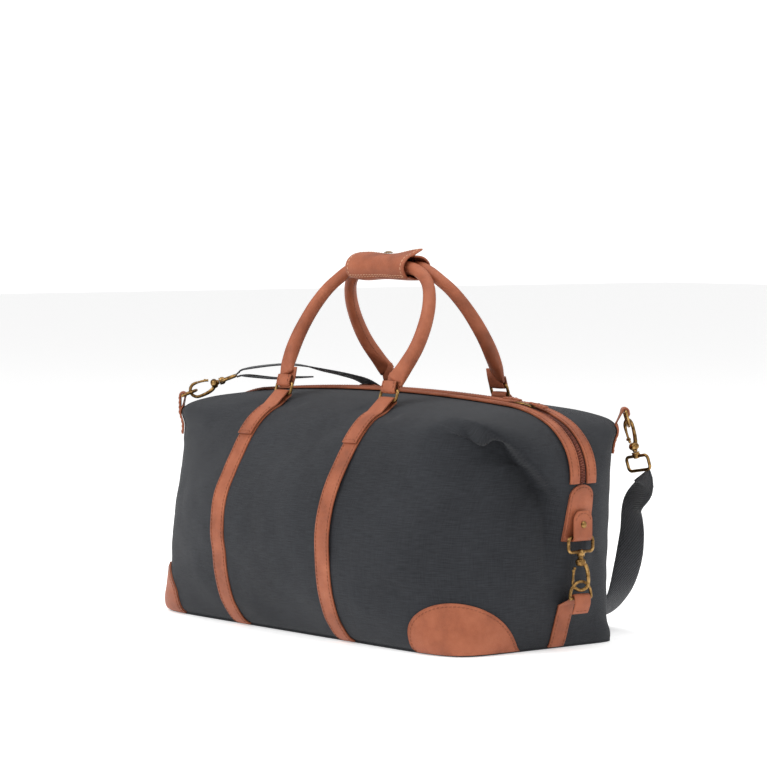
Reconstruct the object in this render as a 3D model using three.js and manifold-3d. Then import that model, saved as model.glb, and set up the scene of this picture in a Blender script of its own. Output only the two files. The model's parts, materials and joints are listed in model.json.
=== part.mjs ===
// Weekender bag: a soft canvas holdall with leather handles, straps and patches.
// Millimetres, +Z up, +X along the bag's length, front panel facing -Y.
// The origin is the middle of the flat base.
import * as THREE from 'three';
import { mergeVertices } from 'three/addons/utils/BufferGeometryUtils.js';
import Module from 'manifold-3d';

const wasm = await Module();
wasm.setup();

// ---------------------------------------------------------------- driving sizes
const GAP = 0.3;                 // clearance kept between touching pieces
const CANVAS = 2.4;              // canvas with its padding and lining
const LEATHER = 2.2;             // strap and patch leather
const SPINE_Y = 18;              // plane of the zip: the top leans back from the base
const BASE_THICK = 2.8;
const STRAP_X = 96;              // handle straps, either side of the middle
const STRAP_WIDTH = 24;
const RING_WIRE = 1.7;           // radius of the brass ring wire
const RING_HALF_WIDTH = 14.2;
const RING_HEIGHT = 13;
const HANDLE_GRIP_RADIUS = 7;
const GRIP_HEIGHT = 409;
const ZIP_HALF_WIDTH = 5;
const TRIM_WIDTH = 13;
const HOOK_WIRE = 1.8;
const WEBBING_WIDTH = 30;
const WEBBING_THICK = 1.6;

// The bag's outer form: rings of a rounded rectangle, from the base to the ridge.
// height, half length, depth in front of and behind the zip plane, squareness, flare
const RINGS = [
  [3.1, 277, 139, 103, 10, 0],
  [10, 281, 149, 108, 7.5, 0],
  [30, 288, 162, 115, 4.8, 0],
  [55, 296, 172, 122, 3.5, 0],
  [85, 303, 179, 130, 2.85, 0],
  [115, 309, 181, 136, 2.6, 0],
  [147, 315, 176, 138, 2.45, 0],
  [179, 320, 162, 134, 2.45, 0],
  [205, 320, 146, 126, 2.6, 0.04],
  [230, 311, 126, 112, 3.1, 0.12],
  [250, 292, 99, 92, 4.6, 0.28],
  [261, 268, 68, 65, 6, 0.4],
  [266, 245, 34, 33, 6, 0.5],
  [268, 226, 0, 0, 6, 0.5],
];
const TOP_RING = RINGS.length - 1;
const FLARE_LENGTH = 250;        // distance from the middle where the flare is stated
const END_DROP = 10;             // how far the ridge falls towards its ends
const PATCH_BOTTOM = 120;        // end patch, over the foot of the zip
const PATCH_TOP = 181;

const clamp01 = (value) => Math.min(1, Math.max(0, value));
const vec = (x, y, z) => new THREE.Vector3(x, y, z);
const lerp = (a, b, t) => a + (b - a) * t;
const degrees = (angle) => (angle * Math.PI) / 180;

// ---------------------------------------------------------------- the bag's form
function ringAt(t) {
  const i = Math.min(Math.max(Math.floor(t), 0), TOP_RING - 1);
  const f = t - i;
  const a = RINGS[Math.max(i - 1, 0)];
  const b = RINGS[i];
  const c = RINGS[i + 1];
  const d = RINGS[Math.min(i + 2, TOP_RING)];
  return b.map((_, k) => 0.5 * (2 * b[k] + (c[k] - a[k]) * f
    + (2 * a[k] - 5 * b[k] + 4 * c[k] - d[k]) * f * f
    + (3 * b[k] - a[k] - 3 * c[k] + d[k]) * f * f * f));
}

const endDrop = (x, z) => clamp01((z - 180) / 90) * END_DROP * (x / 243) ** 2;

// A point of the outer form: phi round the bag (0 is +X, 270 degrees the front), t up it.
function formPoint(phi, t) {
  const [z, ax, front, back, n, flare] = ringAt(t);
  const c = Math.cos(phi);
  const s = Math.sin(phi);
  const depth = Math.max(s < 0 ? front : back, 0);
  const r = (Math.abs(c) ** n + Math.abs(s) ** n) ** (-1 / n);
  const x = ax * r * c;
  const y = depth * r * s * (1 + flare * (x / FLARE_LENGTH) ** 2);
  return vec(x, SPINE_Y + y, z - endDrop(x, z));
}

// The height index t of the form over a given x and final height.
function ringIndex(x, z) {
  let low = 0;
  let high = TOP_RING;
  for (let i = 0; i < 30; i += 1) {
    const mid = (low + high) / 2;
    const zRing = ringAt(mid)[0];
    if (zRing - endDrop(x, zRing) < z) low = mid;
    else high = mid;
  }
  return (low + high) / 2;
}

// Depth from the zip plane at (x, z); side is -1 for the front, +1 for the back.
function depthAt(x, z, side) {
  const [, ax, front, back, n, flare] = ringAt(ringIndex(x, z));
  const inside = 1 - (Math.abs(x) / ax) ** n;
  if (inside <= 0) return -1;
  return (side < 0 ? front : back) * inside ** (1 / n) * (1 + flare * (x / FLARE_LENGTH) ** 2);
}

// A point on the front or back, moved out along the surface by lift.
function facePoint(x, z, side, lift) {
  const step = 1;
  const at = (px, pz) => vec(px, SPINE_Y + side * depthAt(px, pz, side), pz);
  const du = at(x + step, z).sub(at(x - step, z));
  const dv = at(x, z + step).sub(at(x, z - step));
  const normal = du.cross(dv).normalize();
  if (normal.y * side < 0) normal.negate();
  return at(x, z).addScaledVector(normal, lift);
}

// A point on either end at (y, z); end is -1 or +1.
function endReach(y, z) {
  const side = y < SPINE_Y ? -1 : 1;
  let low = 150;
  let high = 330;
  for (let i = 0; i < 30; i += 1) {
    const mid = (low + high) / 2;
    if (depthAt(mid, z, side) > Math.abs(y - SPINE_Y)) low = mid;
    else high = mid;
  }
  return low;
}

function endPoint(y, z, end, lift) {
  const step = 1.5;
  const at = (py, pz) => vec(end * endReach(py, pz), py, pz);
  const du = at(y + step, z).sub(at(y - step, z));
  const dv = at(y, z + step).sub(at(y, z - step));
  const normal = du.cross(dv).normalize();
  if (normal.x * end < 0) normal.negate();
  return at(y, z).addScaledVector(normal, lift);
}

// ---------------------------------------------------------------- mesh helpers
function signedVolume(points, faces) {
  let sum = 0;
  for (const [a, b, c] of faces) {
    sum += points[a].dot(points[b].clone().cross(points[c]));
  }
  return sum / 6;
}

function solidFrom(points, faces) {
  const flip = signedVolume(points, faces) < 0;
  const geometry = new THREE.BufferGeometry();
  geometry.setAttribute('position', new THREE.Float32BufferAttribute(points.flatMap((p) => [p.x, p.y, p.z]), 3));
  geometry.setIndex(faces.flatMap(([a, b, c]) => (flip ? [a, c, b] : [a, b, c])));
  geometry.computeVertexNormals();
  return geometry;
}

// A solid skinned over a row of like sections, each a loop of points.
function loft(sections, closed = false) {
  const count = sections[0].length;
  const points = sections.flat();
  const faces = [];
  const last = closed ? sections.length : sections.length - 1;
  for (let i = 0; i < last; i += 1) {
    const next = (i + 1) % sections.length;
    for (let j = 0; j < count; j += 1) {
      const k = (j + 1) % count;
      const [a, b] = [i * count + j, i * count + k];
      const [c, d] = [next * count + j, next * count + k];
      faces.push([a, b, d], [a, d, c]);
    }
  }
  if (!closed) {
    for (let j = 1; j < count - 1; j += 1) {
      const end = (sections.length - 1) * count;
      faces.push([0, j + 1, j], [end, end + j, end + j + 1]);
    }
  }
  return solidFrom(points, faces);
}

// A wire bent along a path of points, open or closed.
function wire(path, radius, closed = false, sides = 6) {
  const frames = path.map((p, i) => {
    const before = path[closed ? (i + path.length - 1) % path.length : Math.max(i - 1, 0)];
    const after = path[closed ? (i + 1) % path.length : Math.min(i + 1, path.length - 1)];
    return after.clone().sub(before).normalize();
  });
  let side = vec(0.31, 0.53, 0.79).cross(frames[0]).normalize();
  const normal = closed ? planeNormal(path) : null;
  const sections = path.map((p, i) => {
    const tangent = frames[i];
    if (normal) side = normal.clone();
    side = side.clone().addScaledVector(tangent, -side.dot(tangent)).normalize();
    const up = tangent.clone().cross(side);
    return Array.from({ length: sides }, (_, j) => {
      const angle = (2 * Math.PI * j) / sides;
      return p.clone().addScaledVector(side, radius * Math.cos(angle)).addScaledVector(up, radius * Math.sin(angle));
    });
  });
  return loft(sections, closed);
}

function planeNormal(path) {
  const sum = vec(0, 0, 0);
  path.forEach((p, i) => sum.add(p.clone().cross(path[(i + 1) % path.length])));
  return sum.normalize();
}

// A closed rounded loop in the plane of two unit vectors.
function roundedLoop(centre, across, along, halfWidth, halfHeight, radius, steps = 3) {
  const corners = [[1, 1, 0], [-1, 1, 1], [-1, -1, 2], [1, -1, 3]];
  return corners.flatMap(([sx, sy, quarter]) => Array.from({ length: steps }, (_, i) => {
    const angle = (quarter + i / (steps - 1)) * (Math.PI / 2);
    const u = sx * (halfWidth - radius) + radius * Math.cos(angle);
    const v = sy * (halfHeight - radius) + radius * Math.sin(angle);
    return centre.clone().addScaledVector(across, u).addScaledVector(along, v);
  }));
}

// A flat strip of leather or webbing: stations give a centre, an across and a normal.
function strip(stations, width, thickness) {
  return loft(stations.map(({ at, across, normal, scale = 1 }) => {
    const half = (width / 2) * scale;
    return [[-half, 0], [half, 0], [half, thickness], [-half, thickness]].map(([u, v]) => (
      at.clone().addScaledVector(across, u).addScaledVector(normal, v)));
  }));
}

// A thin patch laid on a surface: place(u, v, lift) maps a flat outline on to it.
function patch(outline, centre, place, lift, thickness, rings = 3) {
  const layer = (height) => {
    const points = [place(centre[0], centre[1], height)];
    for (let r = 1; r <= rings; r += 1) {
      const f = r / rings;
      outline.forEach(([u, v]) => points.push(place(lerp(centre[0], u, f), lerp(centre[1], v, f), height)));
    }
    return points;
  };
  const top = layer(lift + thickness);
  const bottom = layer(lift);
  const count = outline.length;
  const offset = top.length;
  const index = (ring, j) => 1 + (ring - 1) * count + (j % count);
  const faces = [];
  const both = (a, b, c) => {
    faces.push([a, b, c], [offset + a, offset + c, offset + b]);
  };
  for (let j = 0; j < count; j += 1) {
    both(0, index(1, j), index(1, j + 1));
    for (let r = 1; r < rings; r += 1) {
      both(index(r, j), index(r + 1, j), index(r + 1, j + 1));
      both(index(r, j), index(r + 1, j + 1), index(r, j + 1));
    }
    const a = index(rings, j);
    const b = index(rings, j + 1);
    faces.push([a, offset + a, offset + b], [a, offset + b, b]);
  }
  return solidFrom([...top, ...bottom], faces);
}

// A turned piece about the line through centre along axis.
function turned(profile, centre, axis, segments = 12) {
  const geometry = new THREE.LatheGeometry(profile.map(([r, h]) => new THREE.Vector2(r, h)), segments);
  geometry.applyQuaternion(new THREE.Quaternion().setFromUnitVectors(vec(0, 1, 0), axis.clone().normalize()));
  return geometry.translate(centre.x, centre.y, centre.z);
}

function toManifold(geometry) {
  const bare = new THREE.BufferGeometry();
  bare.setAttribute('position', geometry.getAttribute('position').clone());
  if (geometry.index) bare.setIndex(geometry.index.clone());
  const merged = mergeVertices(bare, 1e-4);
  return new wasm.Manifold(new wasm.Mesh({
    numProp: 3,
    vertProperties: new Float32Array(merged.getAttribute('position').array),
    triVerts: new Uint32Array(merged.index.array),
  }));
}

function fromManifold(solid) {
  const mesh = solid.getMesh();
  const geometry = new THREE.BufferGeometry();
  geometry.setAttribute('position', new THREE.BufferAttribute(new Float32Array(mesh.vertProperties), 3));
  geometry.setIndex(new THREE.BufferAttribute(new Uint32Array(mesh.triVerts), 1));
  geometry.computeVertexNormals();
  return geometry;
}

const join = (...pieces) => fromManifold(pieces.map(toManifold).reduce((sum, piece) => sum.add(piece)));

// ---------------------------------------------------------------- materials and nodes
const FINISHES = {
  canvas: [0x3c3d41, 0.95, 0],
  lining: [0x2b2b2e, 0.95, 0],
  leather: [0xad6142, 0.6, 0],
  webbing: [0x2a2b2e, 0.9, 0],
  zip: [0x7c3a2a, 0.8, 0],
  brass: [0x7d6a45, 0.35, 0.9],
  board: [0x2a2a2a, 0.9, 0],
};

const bag = new THREE.Group();

function add(name, finish, geometry) {
  const [color, roughness, metalness] = FINISHES[finish];
  const mesh = new THREE.Mesh(geometry, new THREE.MeshStandardMaterial({ color, roughness, metalness }));
  mesh.name = name;
  bag.add(mesh);
}

// ---------------------------------------------------------------- canvas body
const SEAM_GAP = 0.4;

// Half the gap between the panels: a seam below the end patch, the zip above it.
function halfOpening(z) {
  return lerp(SEAM_GAP, ZIP_HALF_WIDTH + 0.9, clamp01((z - 150) / 20));
}

function panel(side) {
  const across = 30;
  const rows = 18;
  const outer = [];
  const inner = [];
  const middle = SPINE_Y;
  const at = (phi, t) => {
    const p = formPoint(phi, t);
    const depth = Math.max(ringAt(t)[side < 0 ? 2 : 3], 0.001);
    const open = halfOpening(p.z);
    const share = Math.abs(p.y - middle) * Math.max(0, 1 - open / Math.max(depth, open));
    return vec(p.x, middle + side * (open + share), p.z);
  };
  for (let i = 0; i <= rows; i += 1) {
    const t = (i / rows) * TOP_RING;
    for (let j = 0; j <= across; j += 1) {
      const even = (j / across) * Math.PI;
      const phi = side * (even + 0.16 * Math.sin(2 * even));
      const p = at(phi, t);
      const onEdge = j === 0 || j === across || i === rows;
      const du = at(phi + 0.01, t).sub(at(phi - 0.01, t));
      const dv = at(phi, Math.min(t + 0.02, TOP_RING)).sub(at(phi, Math.max(t - 0.02, 0)));
      const normal = du.cross(dv);
      if (onEdge) normal.y = 0;
      if (i === 0) normal.z = 0;
      normal.normalize();
      const outward = vec(p.x, (p.y - middle) * 2, p.z - 130);
      if (normal.dot(outward) < 0) normal.negate();
      outer.push(p);
      const wall = p.clone().addScaledVector(normal, -CANVAS);
      if (side * (wall.y - middle) < halfOpening(wall.z)) wall.y = middle + side * halfOpening(wall.z);
      inner.push(wall);
    }
  }
  const width = across + 1;
  const faces = [];
  const shift = outer.length;
  for (let i = 0; i < rows; i += 1) {
    for (let j = 0; j < across; j += 1) {
      const [a, b, c, d] = [i * width + j, i * width + j + 1, (i + 1) * width + j, (i + 1) * width + j + 1];
      faces.push([a, b, d], [a, d, c], [shift + a, shift + d, shift + b], [shift + a, shift + c, shift + d]);
    }
  }
  const rim = (a, b) => faces.push([a, shift + b, b], [a, shift + a, shift + b]);
  for (let j = 0; j < across; j += 1) {
    rim(j, j + 1);
    rim(rows * width + j + 1, rows * width + j);
  }
  for (let i = 0; i < rows; i += 1) {
    rim((i + 1) * width, i * width);
    rim(i * width + across, (i + 1) * width + across);
  }
  return solidFrom([...outer, ...inner], faces);
}

function baseSlab(inset, low, high) {
  const steps = 56;
  const loop = (z) => Array.from({ length: steps }, (_, i) => {
    const p = formPoint((2 * Math.PI * i) / steps, 0);
    const out = vec(p.x, p.y - SPINE_Y, 0).normalize();
    return vec(p.x - out.x * inset, p.y - out.y * inset, z);
  });
  return loft([loop(low), loop(high)]);
}

add('front_panel', 'canvas', panel(-1));
add('back_panel', 'canvas', panel(1));
add('base_panel', 'canvas', baseSlab(0, 0, BASE_THICK));
add('base_board', 'board', baseSlab(9, BASE_THICK + GAP, BASE_THICK + GAP + 2.5));

// A lining pocket stitched to the inside of the back panel, open at its top.
function pocket() {
  const low = 70;
  const high = 170;
  const halfWidth = 90;
  const columns = 10;
  const rows = 4;
  const outline = [];
  for (let i = 0; i <= columns; i += 1) outline.push([lerp(-halfWidth, halfWidth, i / columns), low]);
  for (let i = 1; i <= rows; i += 1) outline.push([halfWidth, lerp(low, high, i / rows)]);
  for (let i = 1; i <= columns; i += 1) outline.push([lerp(halfWidth, -halfWidth, i / columns), high]);
  for (let i = 1; i < rows; i += 1) outline.push([-halfWidth, lerp(high, low, i / rows)]);
  const place = (u, v, lift) => facePoint(u, v, 1, -CANVAS - GAP - 1.5 + lift);
  return patch(outline, [0, (low + high) / 2], place, 0, 0.9, 2);
}
add('inner_pocket', 'lining', pocket());

// ---------------------------------------------------------------- front corner patches
const CORNER_HALF_WIDTH = 66;
const CORNER_HEIGHT = 54;
const CORNER_ANGLE = 40.5;       // where the corner's edge stands, in the form's own angle

// Walks round the bag from a corner: s along the surface, v the height over the base.
function cornerPlace(cornerPhi, xCorner) {
  const end = Math.cos(cornerPhi) > 0 ? 1 : -1;
  return (s, v, lift) => {
    const t = ringIndex(xCorner, 3.2 + v);
    const step = 0.002;
    let phi = cornerPhi;
    let left = Math.abs(s);
    const turn = Math.sign(s) * end;
    let here = formPoint(phi, t);
    while (left > 0) {
      const next = formPoint(phi + turn * step, t);
      const length = next.distanceTo(here);
      if (length >= left) {
        phi += turn * step * (left / length);
        break;
      }
      left -= length;
      phi += turn * step;
      here = next;
    }
    const p = formPoint(phi, t);
    const du = formPoint(phi + step, t).sub(formPoint(phi - step, t));
    const dv = formPoint(phi, t + 0.02).sub(formPoint(phi, Math.max(t - 0.02, 0)));
    const normal = du.cross(dv).normalize();
    if (normal.dot(vec(p.x, p.y - SPINE_Y, 0)) < 0) normal.negate();
    return p.addScaledVector(normal, lift);
  };
}

function cornerPatch(end) {
  const outline = [];
  const arcSteps = 18;
  for (let i = 0; i <= arcSteps; i += 1) {
    const angle = (Math.PI * i) / arcSteps;
    outline.push([CORNER_HALF_WIDTH * Math.cos(angle), CORNER_HEIGHT * Math.sin(angle)]);
  }
  const baseSteps = 10;
  for (let i = 1; i < baseSteps; i += 1) {
    outline.push([lerp(-CORNER_HALF_WIDTH, CORNER_HALF_WIDTH, i / baseSteps), 0]);
  }
  return patch(outline, [0, 18], cornerPlace(degrees(end > 0 ? -CORNER_ANGLE : 180 + CORNER_ANGLE), 270), 2.3, 1.8, 3);
}
add('corner_patch_right', 'leather', cornerPatch(1));
add('corner_patch_left', 'leather', cornerPatch(-1));

// ---------------------------------------------------------------- straps, rings and handles
const LOOP_LIFT = 6;           // height of the ring's lower bar above the canvas
const STRAP_LIFT = 0.6;          // clearance between a strap and the canvas
const STRAP_TOP = 254;           // where a strap leaves the canvas for its ring

// The frame where a handle strap leaves the canvas for its ring.
function ringFrame(side) {
  const top = facePoint(STRAP_X, STRAP_TOP, side, 0);
  const below = facePoint(STRAP_X, STRAP_TOP - 4, side, 0);
  const along = top.clone().sub(below).setX(0).normalize();
  const normal = vec(0, along.z * side, -along.y * side).normalize();
  if (normal.z < 0) normal.negate();
  const bar = top.clone().addScaledVector(along, 9).addScaledVector(normal, LOOP_LIFT);
  const lean = vec(0, -side * 0.3, 0.954);
  return { top, along, normal, bar, lean };
}

function handleStrap(side, sideways) {
  const x0 = sideways * STRAP_X;
  const { along, normal, bar } = ringFrame(side);
  const half = STRAP_WIDTH / 2;
  const sections = [];
  const tongueLength = 40;
  const rows = 24;
  const topIndex = ringIndex(STRAP_X, STRAP_TOP - 2);
  for (let i = 0; i <= rows; i += 1) {
    const zRing = ringAt(lerp(0.05, topIndex, i / rows))[0];
    const z = zRing - endDrop(STRAP_X, zRing);
    const low = [-half, 0, half].map((u) => facePoint(x0 + u, z, side, STRAP_LIFT));
    const high = [half, 0, -half].map((u) => facePoint(x0 + u, z, side, STRAP_LIFT + LEATHER));
    sections.push([...low, ...high]);
  }
  // Round the ring's lower bar, then back down over the strap as the tongue.
  const inner = RING_WIRE + 0.7;
  const outer = inner + LEATHER;
  const row = (centre, dirIn, rIn, rOut) => {
    const at = (u, r) => centre.clone().setX(x0 + u).addScaledVector(dirIn, r);
    sections.push([at(-half, rOut), at(0, rOut), at(half, rOut), at(half, rIn), at(0, rIn), at(-half, rIn)]);
  };
  for (let i = 0; i <= 8; i += 1) {
    const angle = lerp(-Math.PI / 2, Math.PI / 2, i / 8);
    const dir = along.clone().multiplyScalar(Math.cos(angle)).addScaledVector(normal, Math.sin(angle));
    row(bar, dir, inner, outer);
  }
  const lift = STRAP_LIFT + LEATHER + 0.5;
  for (let i = 0; i <= 5; i += 1) {
    const z = lerp(STRAP_TOP - 5, STRAP_TOP - 5 - tongueLength * 0.8, i / 5);
    const high = [-half, 0, half].map((u) => facePoint(x0 + u, z, side, lift + LEATHER));
    const low = [half, 0, -half].map((u) => facePoint(x0 + u, z, side, lift));
    sections.push([...high, ...low]);
  }
  return loft(sections);
}

function ringWire(side, sideways) {
  const { bar, lean } = ringFrame(side);
  const centre = bar.clone().setX(sideways * STRAP_X).addScaledVector(lean, RING_HEIGHT / 2);
  return wire(roundedLoop(centre, vec(1, 0, 0), lean, RING_HALF_WIDTH, RING_HEIGHT / 2, 3), RING_WIRE, true);
}

// Half the handle's arch, from the grip's middle down one leg: half width, height.
const ARCH = [[0, 409], [25, 409], [47, 408.6], [63, 404.5], [78, 396], [92, 383], [103, 364], [109, 342],
  [110, 320], [105, 298], [99, 284]];

function handle(side) {
  const { bar, lean } = ringFrame(side);
  const upper = bar.clone().addScaledVector(lean, RING_HEIGHT);
  const gripY = side < 0 ? 12 - 7.4 : 12 + 7.4;
  const baseY = upper.y - side * 4;
  const baseZ = upper.z + 12;
  const archY = (z) => lerp(baseY, gripY, clamp01((z - baseZ) / (400 - baseZ)) ** 0.9);
  const leg = ARCH.map(([x, z]) => vec(x, archY(z), z));
  const points = [...leg.slice(1).reverse().map((p) => vec(-p.x, p.y, p.z)), ...leg];
  const curve = new THREE.CatmullRomCurve3(points, false, 'centripetal');
  const sections = [];
  const sides = 8;
  const total = curve.getLength();
  const oval = (centre, acrossDir, depthDir, a, b, square) => Array.from({ length: sides }, (_, j) => {
    const angle = (2 * Math.PI * (j + 0.5)) / sides;
    const c = Math.cos(angle);
    const s = Math.sin(angle);
    const r = (Math.abs(c) ** square + Math.abs(s) ** square) ** (-1 / square);
    return centre.clone().addScaledVector(acrossDir, a * r * c).addScaledVector(depthDir, b * r * s);
  });
  // The tab: a flat tongue from the flare, round the ring's upper bar and back up.
  const tab = (sideways) => {
    const rows = [];
    const ringX = sideways * STRAP_X;
    const centreBar = upper.clone().setX(ringX);
    const out = vec(0, side * lean.z, -side * lean.y).normalize();
    const radius = RING_WIRE + 0.7 + LEATHER / 2;
    const up = lean;
    rows.push([centreBar.clone().addScaledVector(out, -radius).addScaledVector(up, 11), out.clone().negate()]);
    for (let i = 0; i <= 8; i += 1) {
      const angle = lerp(0, Math.PI, i / 8);
      const dir = out.clone().multiplyScalar(-Math.cos(angle)).addScaledVector(up, -Math.sin(angle));
      rows.push([centreBar.clone().addScaledVector(dir, radius), dir]);
    }
    rows.push([centreBar.clone().addScaledVector(out, radius).addScaledVector(up, 8), out]);
    return rows.map(([p, dir]) => oval(p, vec(-1, 0, 0), dir.clone().multiplyScalar(-1), 11.5, LEATHER / 2, 6));
  };
  const steps = 28;
  const body = [];
  for (let i = 0; i <= steps; i += 1) {
    const u = i / steps;
    const p = curve.getPointAt(u);
    const tangent = curve.getTangentAt(u);
    const fromEnd = Math.min(u, 1 - u) * total;
    const flare = clamp01(1 - fromEnd / 34);
    const radius = lerp(HANDLE_GRIP_RADIUS, 8.3, clamp01(1 - (fromEnd - 40) / 90));
    const a = lerp(radius, 13, flare ** 1.3);
    const b = lerp(radius, 3.4, flare ** 1.3);
    const depthDir = vec(0, side, 0).addScaledVector(tangent, -side * tangent.y).normalize();
    const acrossDir = depthDir.clone().cross(tangent).normalize();
    body.push(oval(p, acrossDir, depthDir, a, b, lerp(2, 3.5, flare)));
  }
  sections.push(...alignTo(tab(-1), body[0]), ...body);
  sections.push(...alignTo(tab(1), body[steps]).reverse());
  return loft(sections);
}

// Turns and flips loops of points so that they line up with a reference loop.
function alignTo(rows, reference) {
  const count = reference.length;
  let target = reference;
  const result = [];
  for (const row of [...rows].reverse()) {
    let best = null;
    for (const flip of [false, true]) {
      const source = flip ? [...row].reverse() : row;
      for (let shift = 0; shift < count; shift += 1) {
        const turnedRow = source.map((_, j) => source[(j + shift) % count]);
        const cost = turnedRow.reduce((sum, p, j) => sum + p.distanceToSquared(target[j]), 0);
        if (!best || cost < best.cost) best = { cost, row: turnedRow };
      }
    }
    result.unshift(best.row);
    target = best.row;
  }
  return result;
}

const SIDES = { front: -1, back: 1 };
const HANDS = { left: -1, right: 1 };
for (const [face, side] of Object.entries(SIDES)) {
  for (const [hand, sideways] of Object.entries(HANDS)) {
    add(`strap_${face}_${hand}`, 'leather', handleStrap(side, sideways));
    add(`ring_${face}_${hand}`, 'brass', ringWire(side, sideways));
  }
  add(`handle_${face}`, 'leather', handle(side));
}

// ---------------------------------------------------------------- wrap round the two grips
const WRAP_HALF_LENGTH = 52;
const WRAP_Y = 12;
const WRAP_Z = GRIP_HEIGHT - 0.5;
const WRAP_HALF_DEPTH = 17.2;
const WRAP_HALF_HEIGHT = 12;
const WRAP_THICK = 1.9;

// The wrap's section: an oval, with angle 0 at the back and 90 degrees at the top.
function wrapWall(from, to, grow, flareUp) {
  const steps = 12;
  const columns = 4;
  const sections = [];
  for (let i = 0; i <= columns; i += 1) {
    const x = lerp(-WRAP_HALF_LENGTH, WRAP_HALF_LENGTH, i / columns);
    const ringOf = (extra) => Array.from({ length: steps + 1 }, (_, j) => {
      const f = j / steps;
      const angle = lerp(from, to, f);
      const rise = flareUp * Math.max(0, f - 0.8) * 5 * Math.max(0, x / WRAP_HALF_LENGTH);
      return vec(
        x,
        WRAP_Y + (WRAP_HALF_DEPTH + grow + extra) * Math.cos(angle),
        WRAP_Z + (WRAP_HALF_HEIGHT + grow + extra) * Math.sin(angle) + rise,
      );
    });
    sections.push([...ringOf(0), ...ringOf(WRAP_THICK).reverse()]);
  }
  return sheetLoft(sections);
}

// Like loft, for a long thin C-shaped section: the ends are closed as bands.
function sheetLoft(sections) {
  const count = sections[0].length;
  const points = sections.flat();
  const faces = [];
  for (let i = 0; i < sections.length - 1; i += 1) {
    for (let j = 0; j < count; j += 1) {
      const k = (j + 1) % count;
      const [a, b, c, d] = [i * count + j, i * count + k, (i + 1) * count + j, (i + 1) * count + k];
      faces.push([a, b, d], [a, d, c]);
    }
  }
  const end = (sections.length - 1) * count;
  for (let j = 0; j < count / 2 - 1; j += 1) {
    const [a, b, c, d] = [j, j + 1, count - 1 - j, count - 2 - j];
    faces.push([a, d, b], [a, c, d], [end + a, end + b, end + d], [end + a, end + d, end + c]);
  }
  return solidFrom(points, faces);
}

add('handle_wrap', 'leather', wrapWall(degrees(-128), degrees(100), 0, 0));
add('wrap_flap', 'leather', wrapWall(degrees(226), degrees(76), WRAP_THICK + 0.5, 6));

// Press stud on the wrap's overlap: cap on the flap.
add('wrap_stud_cap', 'brass', turned([[0, 0], [5, 0], [5, 0.8], [3.6, 1.8], [0, 2.1]],
  vec(0, WRAP_Y, WRAP_Z + WRAP_HALF_HEIGHT + 2 * WRAP_THICK + 0.5 + GAP), vec(0, 0, 1)));

// ---------------------------------------------------------------- zip along the ridge
const TRIM_LIFT = 0.9;
const TRIM_THICK = 2;

// Stations along the zip line, from the right end patch over the ridge to the left.
function zipStations(lift, offset, count = 44) {
  const fine = [];
  const start = ringIndex(310, PATCH_TOP + 1);
  for (let i = 0; i < 60; i += 1) fine.push(formPoint(0, lerp(start, TOP_RING, i / 60)));
  for (let i = 0; i <= 60; i += 1) {
    const x = RINGS[TOP_RING][1] * lerp(1, -1, i / 60);
    fine.push(vec(x, SPINE_Y, RINGS[TOP_RING][0] - endDrop(x, RINGS[TOP_RING][0])));
  }
  for (let i = 1; i <= 60; i += 1) fine.push(formPoint(Math.PI, lerp(TOP_RING, start, i / 60)));
  const curve = new THREE.CatmullRomCurve3(fine.map((p) => p.setY(SPINE_Y)));
  curve.arcLengthDivisions = 600;
  return Array.from({ length: count + 1 }, (_, i) => {
    const at = curve.getPointAt(i / count);
    const tangent = curve.getTangentAt(i / count);
    const normal = vec(-tangent.z, 0, tangent.x).multiplyScalar(-1);
    at.addScaledVector(normal, lift);
    at.y += offset;
    return { at, across: vec(0, 1, 0), normal };
  });
}
const trimOffset = ZIP_HALF_WIDTH + GAP + TRIM_WIDTH / 2;
add('zip_trim_front', 'leather', strip(zipStations(TRIM_LIFT, -trimOffset), TRIM_WIDTH, TRIM_THICK));
add('zip_trim_back', 'leather', strip(zipStations(TRIM_LIFT, trimOffset), TRIM_WIDTH, TRIM_THICK));
add('zip_chain', 'zip', strip(zipStations(-0.8, 0), 2 * ZIP_HALF_WIDTH - 0.4, 1.8));

// A slider on the chain at share s of the zip line, with its pull behind or ahead of it.
const SLIDER_LENGTH = 14;
const PULL_LENGTH = 24;
function sliderAt(share) {
  const stations = zipStations(2.4, 0, 400);
  return stations[Math.round(share * 400)];
}

function slider(share) {
  const { at, normal } = sliderAt(share);
  const along = vec(normal.z, 0, -normal.x);
  const shape = [[-7, 0], [7, 0], [6, 2.6], [-6, 2.6]];
  const ring = (y) => shape.map(([u, v]) => at.clone().addScaledVector(along, u).addScaledVector(normal, v).setY(SPINE_Y + y));
  return loft([ring(-4.2), ring(4.2)]);
}

function pull(share, towards) {
  const { at, normal } = sliderAt(share);
  const along = vec(normal.z, 0, -normal.x).multiplyScalar(towards);
  const ring = (u, half) => [[-half, 3.1], [half, 3.1], [half, 4.7], [-half, 4.7]].map(([y, v]) => (
    at.clone().addScaledVector(along, u).addScaledVector(normal, v).setY(SPINE_Y + y)));
  return loft([ring(1, 2.4), ring(6, 2.6), ring(9, 4.4), ring(PULL_LENGTH, 4.6), ring(PULL_LENGTH + 2, 3)]);
}
const LEFT_SLIDER = 0.196;
const RIGHT_SLIDER = 0.176;
add('zip_slider_left', 'brass', slider(LEFT_SLIDER));
add('zip_slider_right', 'brass', slider(RIGHT_SLIDER));
add('zip_pull_left', 'leather', pull(LEFT_SLIDER, -1));
add('zip_pull_right', 'leather', pull(RIGHT_SLIDER, 1));

// ---------------------------------------------------------------- snap hooks and D-rings
const EYE_HALF_WIDTH = 17.5;
const EYE_HALF_HEIGHT = 8;
const HOOK_REACH = 28;           // swivel to the middle of the hook's round end
const HOOK_ROUND = 8.2;

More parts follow.
